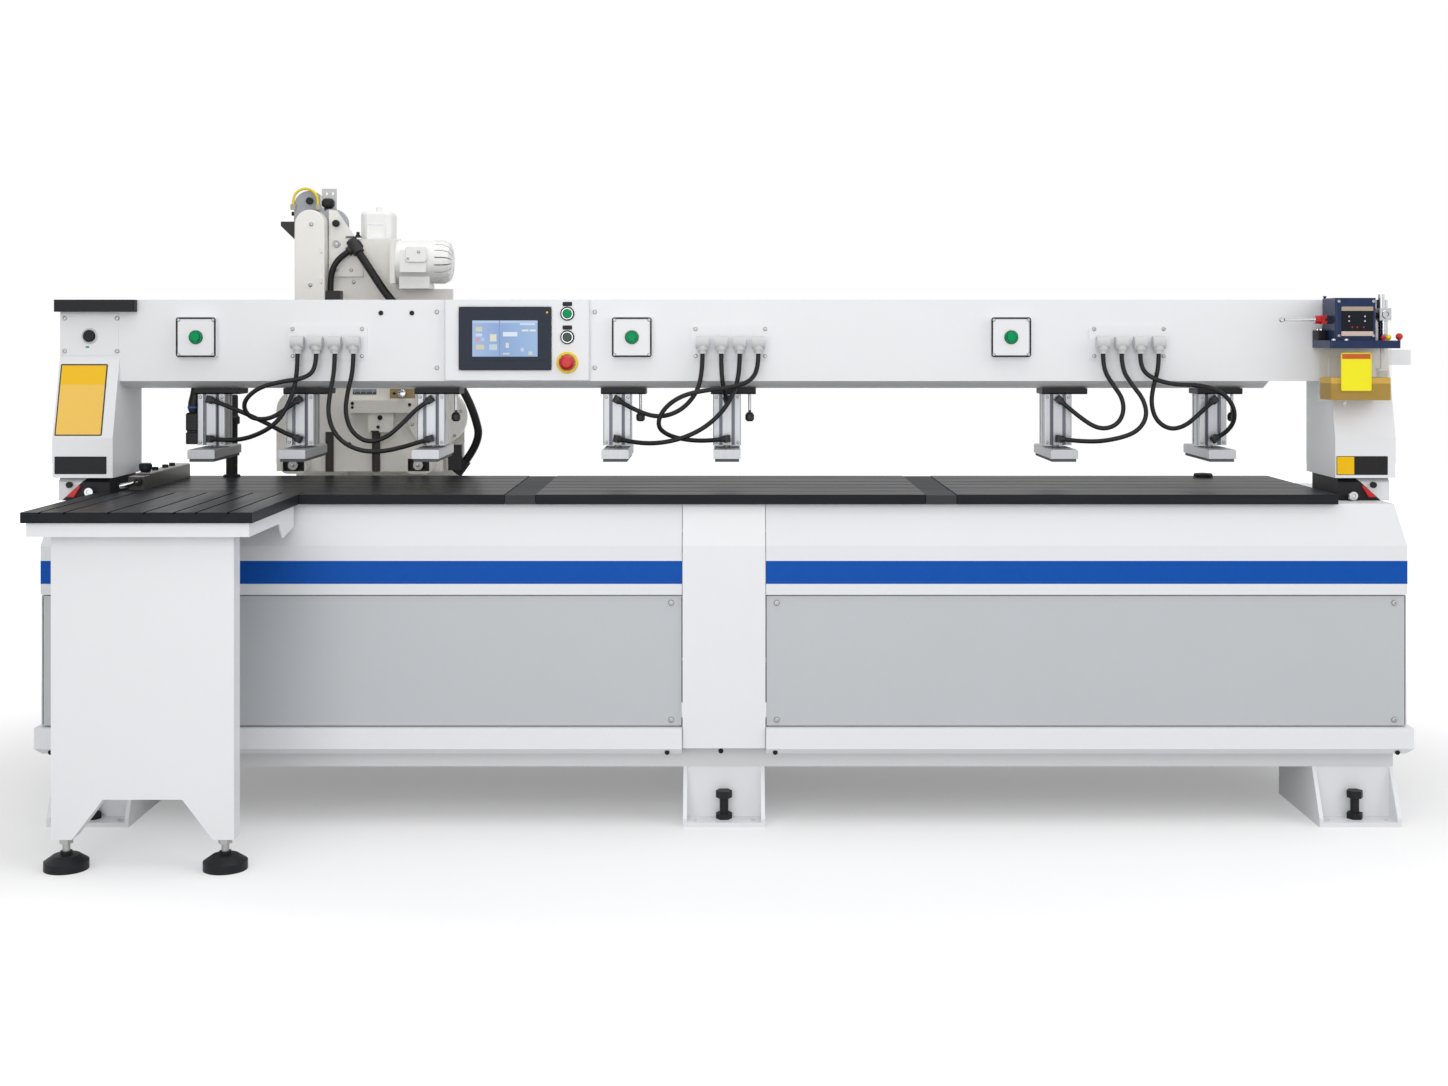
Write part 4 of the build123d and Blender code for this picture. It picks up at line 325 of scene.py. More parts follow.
white = (0.79, 0.80, 0.82)
cream = (0.845, 0.83, 0.785)
aluminium = (0.42, 0.43, 0.45)
steel = (0.48, 0.49, 0.51)
signalRed = (0.56, 0.012, 0.015)
pitch = (0.014, 0.014, 0.016)
pitchPlastic = (0.012, 0.012, 0.014)
pitchRubber = (0.016, 0.016, 0.018)
# Painted shade in the grooves of the spindle unit
grooveShade = (0.035, 0.031, 0.027)
# Painted shade for the pockets of the spindle noses
boreShade = (0.016, 0.015, 0.015)
finishes = {
    **make(powderCoat, {
        "whiteCoat": {"colour": white},
        # Plinth: the white coat taken darker, painted shade where the skirt above shades the recessed plinth
        "plinthCoat": {"colour": (0.66, 0.67, 0.685)},
        "greyCoat": {"colour": (0.50, 0.52, 0.54)},
        "silverCoat": {"colour": (0.86, 0.87, 0.88), "gloss": 0.3},
        "creamEnamel": {"colour": cream, "gloss": 0.3},
        "motorWhite": {"colour": (0.86, 0.86, 0.85), "gloss": 0.32},
        "blackCoat": {"colour": (0.013, 0.013, 0.015), "gloss": 0.42, "shine": 0.2, "coat": 0.0},
    }),
    **make(stripedHood, {
        "hoodCoat": {"white": white, "blue": (0.005, 0.085, 0.42), "low": 0.617, "high": 0.676},
    }),
    **make(slantedBase, {
        "baseCoat": {"black": (0.008, 0.008, 0.010), "white": white,
                     "edge": {"shift": 0.007, "middle": 1.676, "top": 0.863, "slope": 1.1, "start": 0.006}},
    }),
    **make(tableBlack, {
        "tableAlongX": {"along": 0, "joins": [(-0.5625, -0.4835), (0.5175, 0.5965)]},
        "tableAlongY": {"along": 1},
    }),
    **make(drawnMetal, {
        "drawnAluminium": {"colour": aluminium, "gloss": 0.40},
        "groundSteel": {"colour": steel, "gloss": 0.28, "along": (6.0, 900.0, 900.0)},
        "zincSteel": {"colour": (0.42, 0.42, 0.41), "gloss": 0.34, "along": (300.0, 300.0, 300.0)},
        "chrome": {"colour": (0.60, 0.61, 0.62), "gloss": 0.12, "along": (500.0, 500.0, 500.0),
                   "deep": 0.00001},
    }),
    **make(groovedBarrel, {
        # The dark colour is painted shade in the barrels' grooves
        "barrelAluminium": {"light": aluminium, "dark": (0.13, 0.14, 0.16), "groove": (0.0118, 0.0205)},
    }),
    **make(rubberSkin, {
        "hoseRubber": {"colour": (0.007, 0.007, 0.008), "gloss": 0.30, "chalkiness": 0.02},
        "padRubber": {"colour": (0.10, 0.105, 0.11), "gloss": 0.55, "chalkiness": 0.05},
    }),
    **make(moulded, {
        "blackPlastic": {"colour": (0.012, 0.0125, 0.0145), "gloss": 0.42, "shine": 0.2},
        "paleFitting": {"colour": (0.62, 0.625, 0.63), "gloss": 0.38},
        "greenPlastic": {"colour": (0.0, 0.30, 0.10), "gloss": 0.30, "shine": 0.1},
        "deepGreen": {"colour": (0.006, 0.035, 0.026), "gloss": 0.22},
        "redPlastic": {"colour": signalRed, "gloss": 0.25},
        "yellowPlastic": {"colour": (0.80, 0.60, 0.01), "gloss": 0.3},
        "bluePlastic": {"colour": (0.01, 0.10, 0.42), "gloss": 0.25},
        "screenBezel": {"colour": (0.012, 0.019, 0.034), "gloss": 0.34, "shine": 0.2},
    }),
    **make(clearMoulding, {
        "clearTank": {"colour": (0.85, 0.76, 0.50), "density": 0.07},
    }),
    **make(zonedCoat, {
        "slideEnamel": {"ground": cream, "zones": [
            {"x": (None, -1.11), "y": (0.3105, None), "z": (1.548, None), "colour": (0.36, 0.385, 0.42)},
            {"x": (-1.2105, -1.1655), "z": (1.632, None), "colour": (0.56, 0.565, 0.57)},
            {"x": (None, -1.2872), "z": (1.50, 1.61), "colour": (0.014, 0.015, 0.018)},
            {"x": (None, -1.06), "y": (None, 0.3008), "z": (1.25, 1.60), "colour": pitch},
            {"x": (-0.82, None), "y": (None, 0.3008), "z": (None, 1.0), "colour": pitch},
            {"x": (None, -1.20), "y": (None, 0.3104), "z": (1.6195, 1.6436), "colour": (0.45, 0.40, 0.30)}]},
        "unitEnamel": {"ground": (0.845, 0.825, 0.765), "zones": [
            # Painted shade: two grooves down the unit's front painted near-black
            {"x": (-1.1745, -1.1495), "y": (None, 0.2248), "z": (None, 0.9725), "colour": grooveShade},
            {"x": (-1.0375, -1.0125), "y": (None, 0.2248), "z": (None, 0.9718), "colour": grooveShade},
            # Painted shade: a near-black rectangle over the pocket of each spindle nose
            {"x": (-1.2878, -1.2252), "y": (None, 0.2), "z": (0.8548, 0.8912), "colour": boreShade},
            {"x": (-0.9228, -0.8602), "y": (None, 0.2), "z": (0.8548, 0.8912), "colour": boreShade},
            {"x": (-0.9815, -0.9115), "y": (None, 0.2248), "z": (1.0662, None), "colour": (0.40, 0.29, 0.15)}]},
        "navyEnamel": {"ground": (0.002, 0.015, 0.072), "gloss": 0.24, "zones": [
            {"x": (None, 1.5784), "z": (1.25, None), "colour": pitchPlastic},
            {"x": (None, 1.5690), "z": (1.25, None), "colour": signalRed}]},
        "fenceSteel": {"ground": (0.050, 0.048, 0.045), "gloss": 0.34, "zones": [
            {"z": (0.8835, None), "colour": (0.40, 0.40, 0.39)}]},
        "hoseElbows": {"ground": (0.58, 0.585, 0.59), "gloss": 0.34, "zones": [
            {"z": (None, 1.15), "colour": pitchRubber}]},
        "lockingScrews": {"ground": steel, "gloss": 0.3, "groundMetal": 1.0, "zones": [
            {"z": (None, 1.052), "colour": pitchRubber, "metal": 0.0}]},
        "leverParts": {"ground": (0.58, 0.59, 0.60), "gloss": 0.16, "groundMetal": 1.0, "zones": [
            {"x": (1.541, 1.5563), "colour": signalRed, "metal": 0.0},
            {"x": (1.5562, None), "colour": pitchPlastic, "metal": 0.0}]},
        "pumpKnobs": {"ground": (0.50, 0.51, 0.52), "gloss": 0.2, "groundMetal": 1.0, "zones": [
            {"y": (None, -0.43), "colour": signalRed, "metal": 0.0},
            {"x": (1.7052, 1.7205), "y": (None, -0.43), "colour": (0.82, 0.62, 0.0), "metal": 0.0}]},
    }),
}

# Which nodes of the frame take each finish
nodeFinish = {
    "plinthCoat": "base_frame",
    "whiteCoat": "foot_brackets centre_post lower_skirt body_covers extension_frame extension_leg columns "
                 "beam button_boxes operator_panel gland_plates",
    "hoodCoat": "upper_hoods",
    "greyCoat": "grey_panels",
    "silverCoat": "clamp_rail",
    "baseCoat": "column_bases",
    "blackCoat": "foot_bolts clamp_mounts",
    "fenceSteel": "stop_fence",
    "tableAlongX": "table_plates",
    "tableAlongY": "extension_top",
    "blackPlastic": "levelling_pads column_cap stop_knob power_button",
    "lockingScrews": "clamp_screws",
    "groundSteel": "rear_rails drive_screw",
    "zincSteel": "levelling_studs spindle_left spindle_right",
    "barrelAluminium": "clamp_barrels",
    "drawnAluminium": "clamp_feet_left clamp_feet_middle clamp_feet_right",
    "padRubber": "clamp_pads_left clamp_pads_middle clamp_pads_right",
    "hoseElbows": "elbow_fittings",
    "screenBezel": "touch_screen",
    "greenPlastic": "clamp_button_left clamp_button_middle clamp_button_right start_button",
    "deepGreen": "stop_button",
    "redPlastic": "emergency_button",
    "navyEnamel": "pump_housing",
    "clearTank": "pump_reservoir",
    "leverParts": "pump_handle",
    "pumpKnobs": "pump_fittings",
    "creamEnamel": "head_carriage belt_cover",
    "motorWhite": "lift_motor drive_motor",
    "slideEnamel": "head_slide",
    "unitEnamel": "spindle_unit",
}
for finish, names in nodeFinish.items():
    for name in names.split():
        nodes[name].data.materials.clear()
        nodes[name].data.materials.append(finishes[finish])
print("finishes given to the frame")


# Skin: rings of points in mm, one array per level, joined level to level and given in metres; a loop joins the
# last ring to the first, otherwise a flat cap closes each end
def skin(rings, loop=False):
    rings = np.asarray(rings, float) / 1000.0
    levels, around, _ = rings.shape
    low = np.arange(levels if loop else levels - 1)[:, None]
    high = (low + 1) % levels
    step = np.arange(around)[None, :]
    after = (step + 1) % around
    corners = [low * around + step, low * around + after, high * around + after, high * around + step]
    caps = [] if loop else [list(range(around))[::-1], list(range((levels - 1) * around, levels * around))]
    return rings.reshape(-1, 3), np.stack(corners, -1).reshape(-1, 4).tolist() + caps


# Rings carried from a place to three given directions, or with their own z along an axis that is named
def carry(rings, place, along):
    if isinstance(along, str):
        axes = np.roll(np.eye(3), "zxy".index(along[-1]), axis=1)
        along = [axes[1], axes[0], -axes[2]] if along.startswith("-") else axes
    return np.asarray(rings, float) @ np.asarray(along) + np.asarray(place, float)


tip = 0.01  # smallest radius in mm, which keeps the points of a ring apart


# Lathe: rows of radius and height turned about an axis; a third number squeezes a row from circle to hexagon
def turned(place, rows, along="-y", steps=36, ring=False):
    rows = np.asarray([(*row, 0.0)[:3] for row in rows], float)
    angle = np.linspace(0, 2 * math.pi, steps, endpoint=False)
    hexagon = math.cos(math.pi / 6) / np.cos(np.mod(angle, math.pi / 3) - math.pi / 6)
    radius = np.maximum(rows[:, :1], tip) * (1 + rows[:, 2:] * (hexagon - 1))
    height = np.broadcast_to(rows[:, 1:2], radius.shape)
    rings = np.stack([radius * np.cos(angle), radius * np.sin(angle), height], -1)
    return skin(carry(rings, place, along), ring)


# Slab: a round-cornered rectangle drawn in by an inset at each height of the levels
def slab(place, size, corner, levels, along="-y", ring=False, perCorner=6):
    angle = np.linspace(0, math.pi / 2, perCorner)[None, :] + np.arange(4)[:, None] * math.pi / 2
    arcs = np.stack([np.cos(angle), np.sin(angle)], -1).reshape(-1, 2)
    sign = np.repeat(np.array([[1, 1], [-1, 1], [-1, -1], [1, -1]], float), perCorner, 0)
    centres = sign * (np.asarray(size, float) / 2 - corner)
    inset, height = np.asarray(levels, float).T[:, :, None, None]
    flat = centres + arcs * np.maximum(corner - inset, tip) - sign * np.maximum(inset - corner, 0)
    rings = np.concatenate([flat, np.broadcast_to(height, (*flat.shape[:2], 1))], -1)
    return skin(carry(rings, place, along), ring)


# Plate with a round hole: rays from the hole's edge out to a rectangle's edge, the same on both faces
def holedPlate(place, size, hole, thick, along="-y", rays=48):
    corner = math.atan2(size[1], size[0])
    corners = [corner, math.pi - corner, math.pi + corner, 2 * math.pi - corner]
    angle = np.sort(np.concatenate([np.linspace(0, 2 * math.pi, rays, endpoint=False), corners]))
    ray = np.stack([np.cos(angle), np.sin(angle)], -1)
    reach = np.min(np.asarray(size) / 2 / np.maximum(np.abs(ray), 1e-9), axis=1)[:, None]
    rings = [np.c_[ray * out, np.full(len(angle), level)]
             for out, level in ((reach, 0), (reach, thick), (hole, thick), (hole, 0))]
    return skin(carry(rings, place, along), True)


# Rod: a circle of the given girth, its radius, carried square to a path
def swept(path, girth, steps):
    path = np.asarray(path, float)
    ahead = np.gradient(path, axis=0)
    ahead /= np.linalg.norm(ahead, axis=1)[:, None]
    side = np.cross(ahead, (0.31, 0.87, 0.38))  # a direction that no path runs along
    side /= np.linalg.norm(side, axis=1)[:, None]
    lift = np.cross(ahead, side)
    angle = np.linspace(0, 2 * math.pi, steps, endpoint=False)[None, :, None]
    size = np.broadcast_to(np.asarray(girth, float), len(path))[:, None, None]
    return skin(path[:, None] + size * (side[:, None] * np.cos(angle) + lift[:, None] * np.sin(angle)))


# Socket screw: a domed round head with a hexagon socket, its rows in shares of the head's radius
def socketScrew(place, radius, along="-y"):
    head = [(1.0, -0.05), (1.0, 0.2), (0.86, 0.5), (0.6, 0.66), (0.46, 0.66, 1.0), (0.46, 0.3, 1.0), (0.0, 0.3)]
    return turned(place, [(row[0] * radius, row[1] * radius, *row[2:]) for row in head], along, steps=18)


# Edges whose faces meet at more than this angle are kept sharp
creaseAngle = math.radians(32)


# One mesh object from several (points, faces) parts, riding on a body; the finish is a name or a material
def piece(name, parts, finish, slot=None, body="machine"):
    points, faces, start = [], [], 0
    for partPoints, partFaces in parts:
        points.append(partPoints)
        faces += [[index + start for index in face] for face in partFaces]
        start += len(partPoints)
    mesh = bpy.data.meshes.new(name)
    mesh.from_pydata(np.concatenate(points).tolist(), [], faces)
    mesh.shade_smooth()
    mesh.set_sharp_from_angle(angle=creaseAngle)
    mesh.materials.append(finishes[finish] if isinstance(finish, str) else finish)
    made = bpy.data.objects.new(name, mesh)
    scene.collection.objects.link(made)
    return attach(made, body)


# Pieces from a table, one dictionary each, in mm: the first of these keys that a dictionary has says what is
# made at each of its places, and several parts of one piece are made in turn
makers = {"girth": swept, "rows": turned, "hole": holedPlate, "levels": slab, "radius": socketScrew}


def dress(table, **shared):
    for name, row in table.items():
        row = {**shared, **row}
        riding = {key: row.pop(key) for key in ("finish", "slot", "body") if key in row}
        parts = []
        for part in row.pop("parts", [{}]):
            settings = {**row, **part}
            places = settings.pop("at")
            maker = next(makers[key] for key in makers if key in settings)
            parts += [maker(place, **settings) for place in places]
        piece(name, parts, **riding)


# Places: every x with every y and every z
def grid(xs, ys, zs):
    return [(x, y, z) for x in np.atleast_1d(xs) for y in np.atleast_1d(ys) for z in np.atleast_1d(zs)]


# Both sides of each middle
def astride(middles, reach):
    return [middle + side for middle in middles for side in (-reach, reach)]


# Camera and light: level view square to the front, from a little above the beam's middle, sizes in pixels
cameraSettings = {"place": (0.0, -5.075, 1.267), "focal": 1797.0, "width": 1448.0, "height": 1086.0,
                  "horizonRow": 330.0}
camera = bpy.data.objects.new("frontCamera", bpy.data.cameras.new("frontCamera"))
camera.location = cameraSettings["place"]
camera.rotation_euler = (math.pi / 2, 0, 0)
camera.data.lens = camera.data.sensor_width * cameraSettings["focal"] / cameraSettings["width"]
camera.data.shift_y = -(cameraSettings["height"] / 2 - cameraSettings["horizonRow"]) / cameraSettings["width"]
scene.collection.objects.link(camera)
scene.camera = camera
scene.view_settings.view_transform = "Standard"

lampSettings = {
    "frontSoftbox": {"place": (-1.0, -5.6, 2.0), "aim": (0, 0, 0.8), "size": 4.6, "watts": 106.0},
    "sideSoftbox": {"place": (4.4, -2.6, 3.0), "aim": (0.6, 0, 0.8), "size": 3.2, "watts": 48.0},
    "topSoftbox": {"place": (0.0, -0.9, 4.8), "aim": (0, 0, 0.8), "size": 4.0, "watts": 68.0},
}
for name, settings in lampSettings.items():
    lamp = bpy.data.objects.new(name, bpy.data.lights.new(name, "AREA"))
    lamp.data.size = settings["size"]
    lamp.data.energy = settings["watts"]
    lamp.location = settings["place"]
    x, y, z = np.subtract(settings["aim"], settings["place"])
    lamp.rotation_euler = (math.atan2(math.hypot(x, y), -z), 0, math.atan2(-x, y))
    scene.collection.objects.link(lamp)

# White backdrop where it is seen, softer light for the object
backdrop = {"onObject": 0.58, "seen": 1.0}
sky = Paint("paleStudio", bpy.data.worlds, "Background")
strength = backdrop["onObject"] + sky.seen() * (backdrop["seen"] - backdrop["onObject"])
scene.world = sky.finish(Color=(1, 1, 1), Strength=strength)

# Pale floor: its glow rises to white with the squared distance, flatter along x, and only seen rays get it
floorSettings = {"corners": [(-12, -9, 0), (12, -9, 0), (12, 12, 0), (-12, 12, 0)], "flatter": 0.35,
                 "rise": 0.16, "glow": [(0.0, (0.24,) * 3), (0.25, (0.30,) * 3), (1.0, (1.0,) * 3)],
                 "pale": (0.70, 0.70, 0.705), "deeper": (0.68, 0.68, 0.685)}
floorPaint = Paint("paleFloor")
x, y, _ = floorPaint.axes()
distance = (x * x * floorSettings["flatter"] + y * y) * floorSettings["rise"]
glow = floorPaint.ramp(distance, *floorSettings["glow"])
floorGlow = floorPaint.mix(floorPaint.seen(), (0, 0, 0), glow)
floorTone = floorPaint.mix(floorPaint.noise(2.0), floorSettings["pale"], floorSettings["deeper"])
floorMesh = bpy.data.meshes.new("paleFloor")
floorMesh.from_pydata(floorSettings["corners"], [], [(0, 1, 2, 3)])
floorMesh.materials.append(floorPaint.finish(Base_Color=floorTone, Roughness=0.85, Emission_Color=floorGlow,
                                             Emission_Strength=1.0, Specular_IOR_Level=0.1))
paleFloor = bpy.data.objects.new("paleFloor", floorMesh)
scene.collection.objects.link(paleFloor)
print("camera, lamps and floor set")


# One smooth cord with its route's points, in mm, as control points
def layCord(name, route, diameter, finish, body, node):
    points = np.asarray(route, float) / 1000.0
    curve = bpy.data.curves.new(name, "CURVE")
    curve.dimensions = "3D"
    curve.bevel_depth = diameter / 2
    curve.bevel_resolution = 4
    curve.resolution_u = 10
    curve.use_fill_caps = True
    spline = curve.splines.new("NURBS")
    spline.points.add(len(points) - 1)
    spline.points.foreach_set("co", np.concatenate([points, np.ones((len(points), 1))], 1).ravel())
    spline.order_u = 3
    spline.use_endpoint_u = True
    curve.materials.append(finishes[finish])
    made = bpy.data.objects.new(name, curve)
    scene.collection.objects.link(made)
    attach(made, body)
    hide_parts(node)
    return made


# Air hoses: real length in metres, the fitting and x of each end, then the way between them, as x, distance
# behind the cabinet's front and height; a fitting gives its distance behind, its height and its nose
hoseSettings = {"diameter": 0.012, "front": -475.0, "elbow": (130.0, 1234.0, 29.0),
                "highPort": (174.0, 1082.0, 16.0), "lowPort": (174.0, 978.0, 16.0)}
airRoutes = {
    "hoses_left": [
        (0.387, ("elbow", -1122.5), ("lowPort", -1367),
         [(-1123, 130, 1150), (-1138, 126, 1085), (-1175, 122, 1020), (-1240, 128, 985), (-1305, 150, 974)]),
        (0.423, ("elbow", -1073.5), ("highPort", -1130),
         [(-1074, 130, 1165), (-1100, 116, 1140), (-1160, 102, 1132), (-1222, 98, 1115), (-1262, 104, 1075),
          (-1248, 124, 1035), (-1205, 148, 1030), (-1168, 162, 1052)]),
        (0.467, ("elbow", -1024.5), ("lowPort", -781),
         [(-1025, 130, 1160), (-1036, 122, 1100), (-1040, 114, 1040), (-1016, 110, 985), (-965, 112, 952),
          (-905, 122, 946), (-845, 146, 958)]),
        (0.445, ("elbow", -975.5), ("highPort", -781),
         [(-976, 130, 1160), (-992, 136, 1105), (-1000, 140, 1050), (-985, 142, 1000), (-945, 142, 970),
          (-895, 146, 980), (-850, 156, 1020), (-818, 168, 1056)]),
        (0.229, ("highPort", -1367), ("lowPort", -1130),
         [(-1318, 166, 1066), (-1268, 160, 1046), (-1215, 160, 1022), (-1170, 168, 996)]),
    ],
    "hoses_middle": [
        (0.340, ("elbow", -56.5), ("highPort", -285),
         [(-57, 130, 1155), (-72, 128, 1100), (-112, 126, 1055), (-168, 130, 1036), (-226, 150, 1050)]),
        (0.130, ("elbow", -7.5), ("highPort", 8), [(-7, 130, 1168), (-4, 126, 1130), (1, 140, 1102)]),
        (0.467, ("elbow", 41.5), ("lowPort", -285),
         [(41, 130, 1155), (26, 118, 1100), (-6, 108, 1050), (-52, 104, 1010), (-106, 106, 984),
          (-165, 116, 970), (-226, 142, 968)]),
        (0.562, ("elbow", 90.5), ("lowPort", 8),
         [(90, 130, 1162), (66, 110, 1130), (14, 94, 1116), (-48, 90, 1110), (-112, 90, 1096), (-160, 98, 1060),
          (-176, 112, 1016), (-150, 132, 990), (-98, 148, 976), (-45, 162, 973)]),
    ],
    "hoses_right": [
        (0.366, ("elbow", 997.5), ("highPort", 890),
         [(998, 130, 1165), (1022, 128, 1125), (1050, 126, 1085), (1050, 124, 1042), (1026, 124, 1012),
          (985, 130, 1006), (940, 150, 1036)]),
        (0.420, ("elbow", 1046.5), ("lowPort", 890),
         [(1047, 130, 1165), (1070, 118, 1125), (1100, 108, 1085), (1108, 104, 1040), (1084, 104, 1002),
          (1035, 112, 982), (965, 140, 970)]),
        (0.420, ("elbow", 1095.5), ("lowPort", 1303),
         [(1096, 130, 1168), (1122, 114, 1140), (1175, 102, 1124), (1238, 98, 1124), (1296, 102, 1110),
          (1334, 110, 1074), (1346, 130, 1032), (1332, 154, 998)]),
        (0.360, ("elbow", 1144.5), ("highPort", 1303),
         [(1144, 130, 1165), (1132, 138, 1120), (1126, 140, 1072), (1140, 142, 1028), (1176, 144, 1004),
          (1218, 150, 1012), (1258, 160, 1044)]),
    ],
}
for node, routes in airRoutes.items():
    for number, (length, *ends, way) in enumerate(routes, 1):
        (*first, firstNose), (*last, lastNose) = [(x, *hoseSettings[fitting]) for fitting, x in ends]
        line = np.array([first, *way, last], float)
        for end, neighbour, nose in ((0, 1, firstNose), (-1, -2, lastNose)):
            aim = line[neighbour] - line[end]
            line[end] += aim / np.linalg.norm(aim) * nose
        layCord(f"{node}_{number}", line + [0, hoseSettings["front"], 0], hoseSettings["diameter"],
                "hoseRubber", "machine", node)
print("air hoses laid")

# Cables of the drilling head: x from the head's middle, out from the slide's face, above the slide's top
headSettings = {"middle": -1050.0, "face": 311.0, "top": 1390.0}
headRoutes = {
    "headCable": {"diameter": 0.024, "length": 0.751, "way": [
        (-38, 26, 107), (4, 42, 46), (55, 54, -28), (152, 62, -128), (238, 58, -235), (284, 52, -315),
        (310, 46, -378), (326, 38, -452), (281, 30, -512)]},
    "relayCable": {"diameter": 0.018, "length": 0.135, "way": [
        (-72, 22, 110), (-96, 32, 92), (-114, 36, 63), (-122, 34, 28), (-122, 34, -6)]},
}
for name, route in headRoutes.items():
    line = np.array(route["way"], float) * (1, -1, 1) + tuple(headSettings.values())
    layCord(name, line, route["diameter"], "hoseRubber", "lift_slide", "head_hoses")

# Yellow air line: an arch from one boss to the next, with its bends cut off as on an octagon
airSettings = {"left": -1290.0, "right": -1216.0, "behind": 305.0, "foot": 1643.0, "rise": 25.0, "bend": 37.0,
               "diameter": 0.008, "length": 0.137}
left, right, foot = (airSettings[key] for key in ("left", "right", "foot"))
shoulder = foot + airSettings["rise"]
cut = airSettings["bend"] * (1 - math.tan(math.pi / 8))
arch = [(left, foot), (left, shoulder), (left + cut, shoulder + cut), (right - cut, shoulder + cut),
        (right, shoulder), (right, foot)]
layCord("airLine", [(x, airSettings["behind"], z) for x, z in arch], airSettings["diameter"],
        "yellowPlastic", "lift_slide", "head_hoses")
print("head cables laid")

# Screws of the front, the back and the ends
boxX = (-1392, -243, 757)
glandX = (-1049, 17, 1071)
dress({
    "greyPanelScrews": {"radius": 7.5, "at": grid((-1718, -135.5, 135.5, 1718), -469, (568, 268))},
    "surroundScrews": {"radius": 6, "at": grid((-760, -342), -319, (1315, 1167))},
    "glandPlateScrews": {"radius": 5.5, "at": grid(astride(glandX, 92), -323, (1270, 1198))},
    "buttonBoxScrews": {"radius": 4.5, "at": grid(astride(boxX, 45.5), -339, (1293.5, 1202.5))},
    "controlPlateScrews": {"radius": 6, "at": grid((-1744.6, -1606), -321, (1298, 1211))},
    "darkScrews": {
        "radius": 6.5, "finish": "blackPlastic",
        "at": [
            *grid((-908, -826), -319, 1312), *grid((-145.5, 131, -1722, 1722), -480, 187), (-8, -438, 181)]},
    "coverScrews": {"radius": 7.5, "parts": [
        {"along": "y", "at": grid((-1680, -840, 0, 840, 1680), 475, (610, 285))},
        {"along": "-x", "at": grid(-1750, (-430, 0, 430), (610, 285))},
        {"along": "x", "at": grid(1750, (-430, 0, 430), (610, 285))}]},
}, finish="zincSteel")

# Button boxes: dark rim round each lid, green ring level with each button and a thin dark edge round it
boxButtons = grid(boxX, -339, 1248)
dress({
    "buttonBoxRims": {
        "finish": "blackPlastic", "size": (105, 105), "corner": 7,
        "levels": [(0, 0), (0, 1.2), (4.5, 1.2), (4.5, 0)]},
    "buttonBezels": {
        "finish": "greenPlastic", "steps": 48,
        "rows": [(16.8, 0), (16.8, 4), (16, 5.2), (13, 5.2), (12.4, 4.5), (12.4, 0)]},
    "buttonEdges": {
        "finish": "blackPlastic", "steps": 48,
        "rows": [(18.2, 0), (18.2, 3), (17.6, 3.8), (17, 3.8), (17, 0)]},
}, at=boxButtons, ring=True)

# Operator panel: bezels, collars and blank labels of two buttons, collar of the emergency stop
dress({
    "panelBezels": {
        "at": grid(-413, -337, (1310, 1248)), "finish": "chrome", "steps": 48, "ring": True,
        "rows": [(15.5, 0), (15.5, 5.2), (14.5, 6.6), (12.8, 6.6), (11.8, 5.2), (11.8, 0)]},
    "panelCollars": {
        "at": grid(-413, -337, (1310, 1248)), "finish": "blackPlastic", "steps": 48, "ring": True,
        "rows": [(18.5, 0), (18.5, 2.8), (17.6, 3.6), (15.8, 3.6), (15.8, 0)]},
    "panelLabels": {
        "at": grid(-413, -337, (1335.5, 1273.5)), "finish": "blackPlastic", "size": (25, 11), "corner": 2,
        "levels": [(0, 0), (0, 1.1), (0.5, 1.6)]},
    "emergencyCollar": {
        "at": [(-413, -337, 1181)], "finish": "yellowPlastic", "steps": 60, "ring": True,
        "rows": [(28.5, 0), (28.5, 4.2), (26.8, 6.8), (22.6, 7.4), (21.6, 6), (21.6, 0)]},
})

# Touch screen: lit display with its blocks, ledge below it and lamp above it
screenSettings = {"left": -663, "right": -491, "low": 1197, "high": 1292, "blocks": [
    (0.0, 1.0, 0.93, 1.0, (0.42, 0.56, 0.78)), (0.41, 0.425, 0.0, 1.0, (0.14, 0.24, 0.48)),
    (0.05, 0.15, 0.70, 0.82, (0.62, 0.60, 0.42)), (0.05, 0.15, 0.56, 0.64, (0.55, 0.68, 0.80)),
    (0.05, 0.11, 0.42, 0.52, (0.60, 0.28, 0.30)), (0.13, 0.19, 0.42, 0.52, (0.42, 0.50, 0.78)),
    (0.06, 0.18, 0.20, 0.33, (0.62, 0.58, 0.36)), (0.27, 0.37, 0.42, 0.62, (0.72, 0.72, 0.52)),
    (0.26, 0.38, 0.18, 0.34, (0.48, 0.64, 0.66)), (0.47, 0.69, 0.56, 0.68, (0.72, 0.80, 0.88)),
    (0.51, 0.56, 0.24, 0.38, (0.66, 0.70, 0.66)), (0.76, 0.86, 0.70, 0.75, (0.78, 0.78, 0.66)),
    (0.88, 0.97, 0.70, 0.75, (0.80, 0.80, 0.70)), (0.73, 0.96, 0.88, 0.92, (0.70, 0.78, 0.88)),
    (0.74, 0.79, 0.14, 0.24, (0.52, 0.60, 0.72)), (0.86, 0.92, 0.05, 0.14, (0.64, 0.62, 0.52)),
    (0.47, 0.57, 0.06, 0.10, (0.66, 0.66, 0.56))]}
left, right, low, high = (screenSettings[key] for key in ("left", "right", "low", "high"))
dress({
    "screenDisplay": {
        "at": [((left + right) / 2, -341, (low + high) / 2)], "size": (right - left, high - low),
        "corner": 1, "levels": [(0, 0), (0, 0.3)], "finish": screenGlass("screenGlass", **screenSettings)},
    "screenLedge": {
        "at": [(-572.5, -343, 1187)], "size": (209, 1.6), "corner": 0.7,
        "levels": [(0, -0.2), (0, 0.5), (0.3, 0.8)], "finish": "screenBezel"},
    "screenLamp": {
        "at": [(-466, -343, 1313)], "rows": [(2.8, -0.4), (2.8, 0.4), (1.8, 1.3), (0, 1.6)], "steps": 20,
        "finish": "yellowPlastic"},
}, slot="screen")

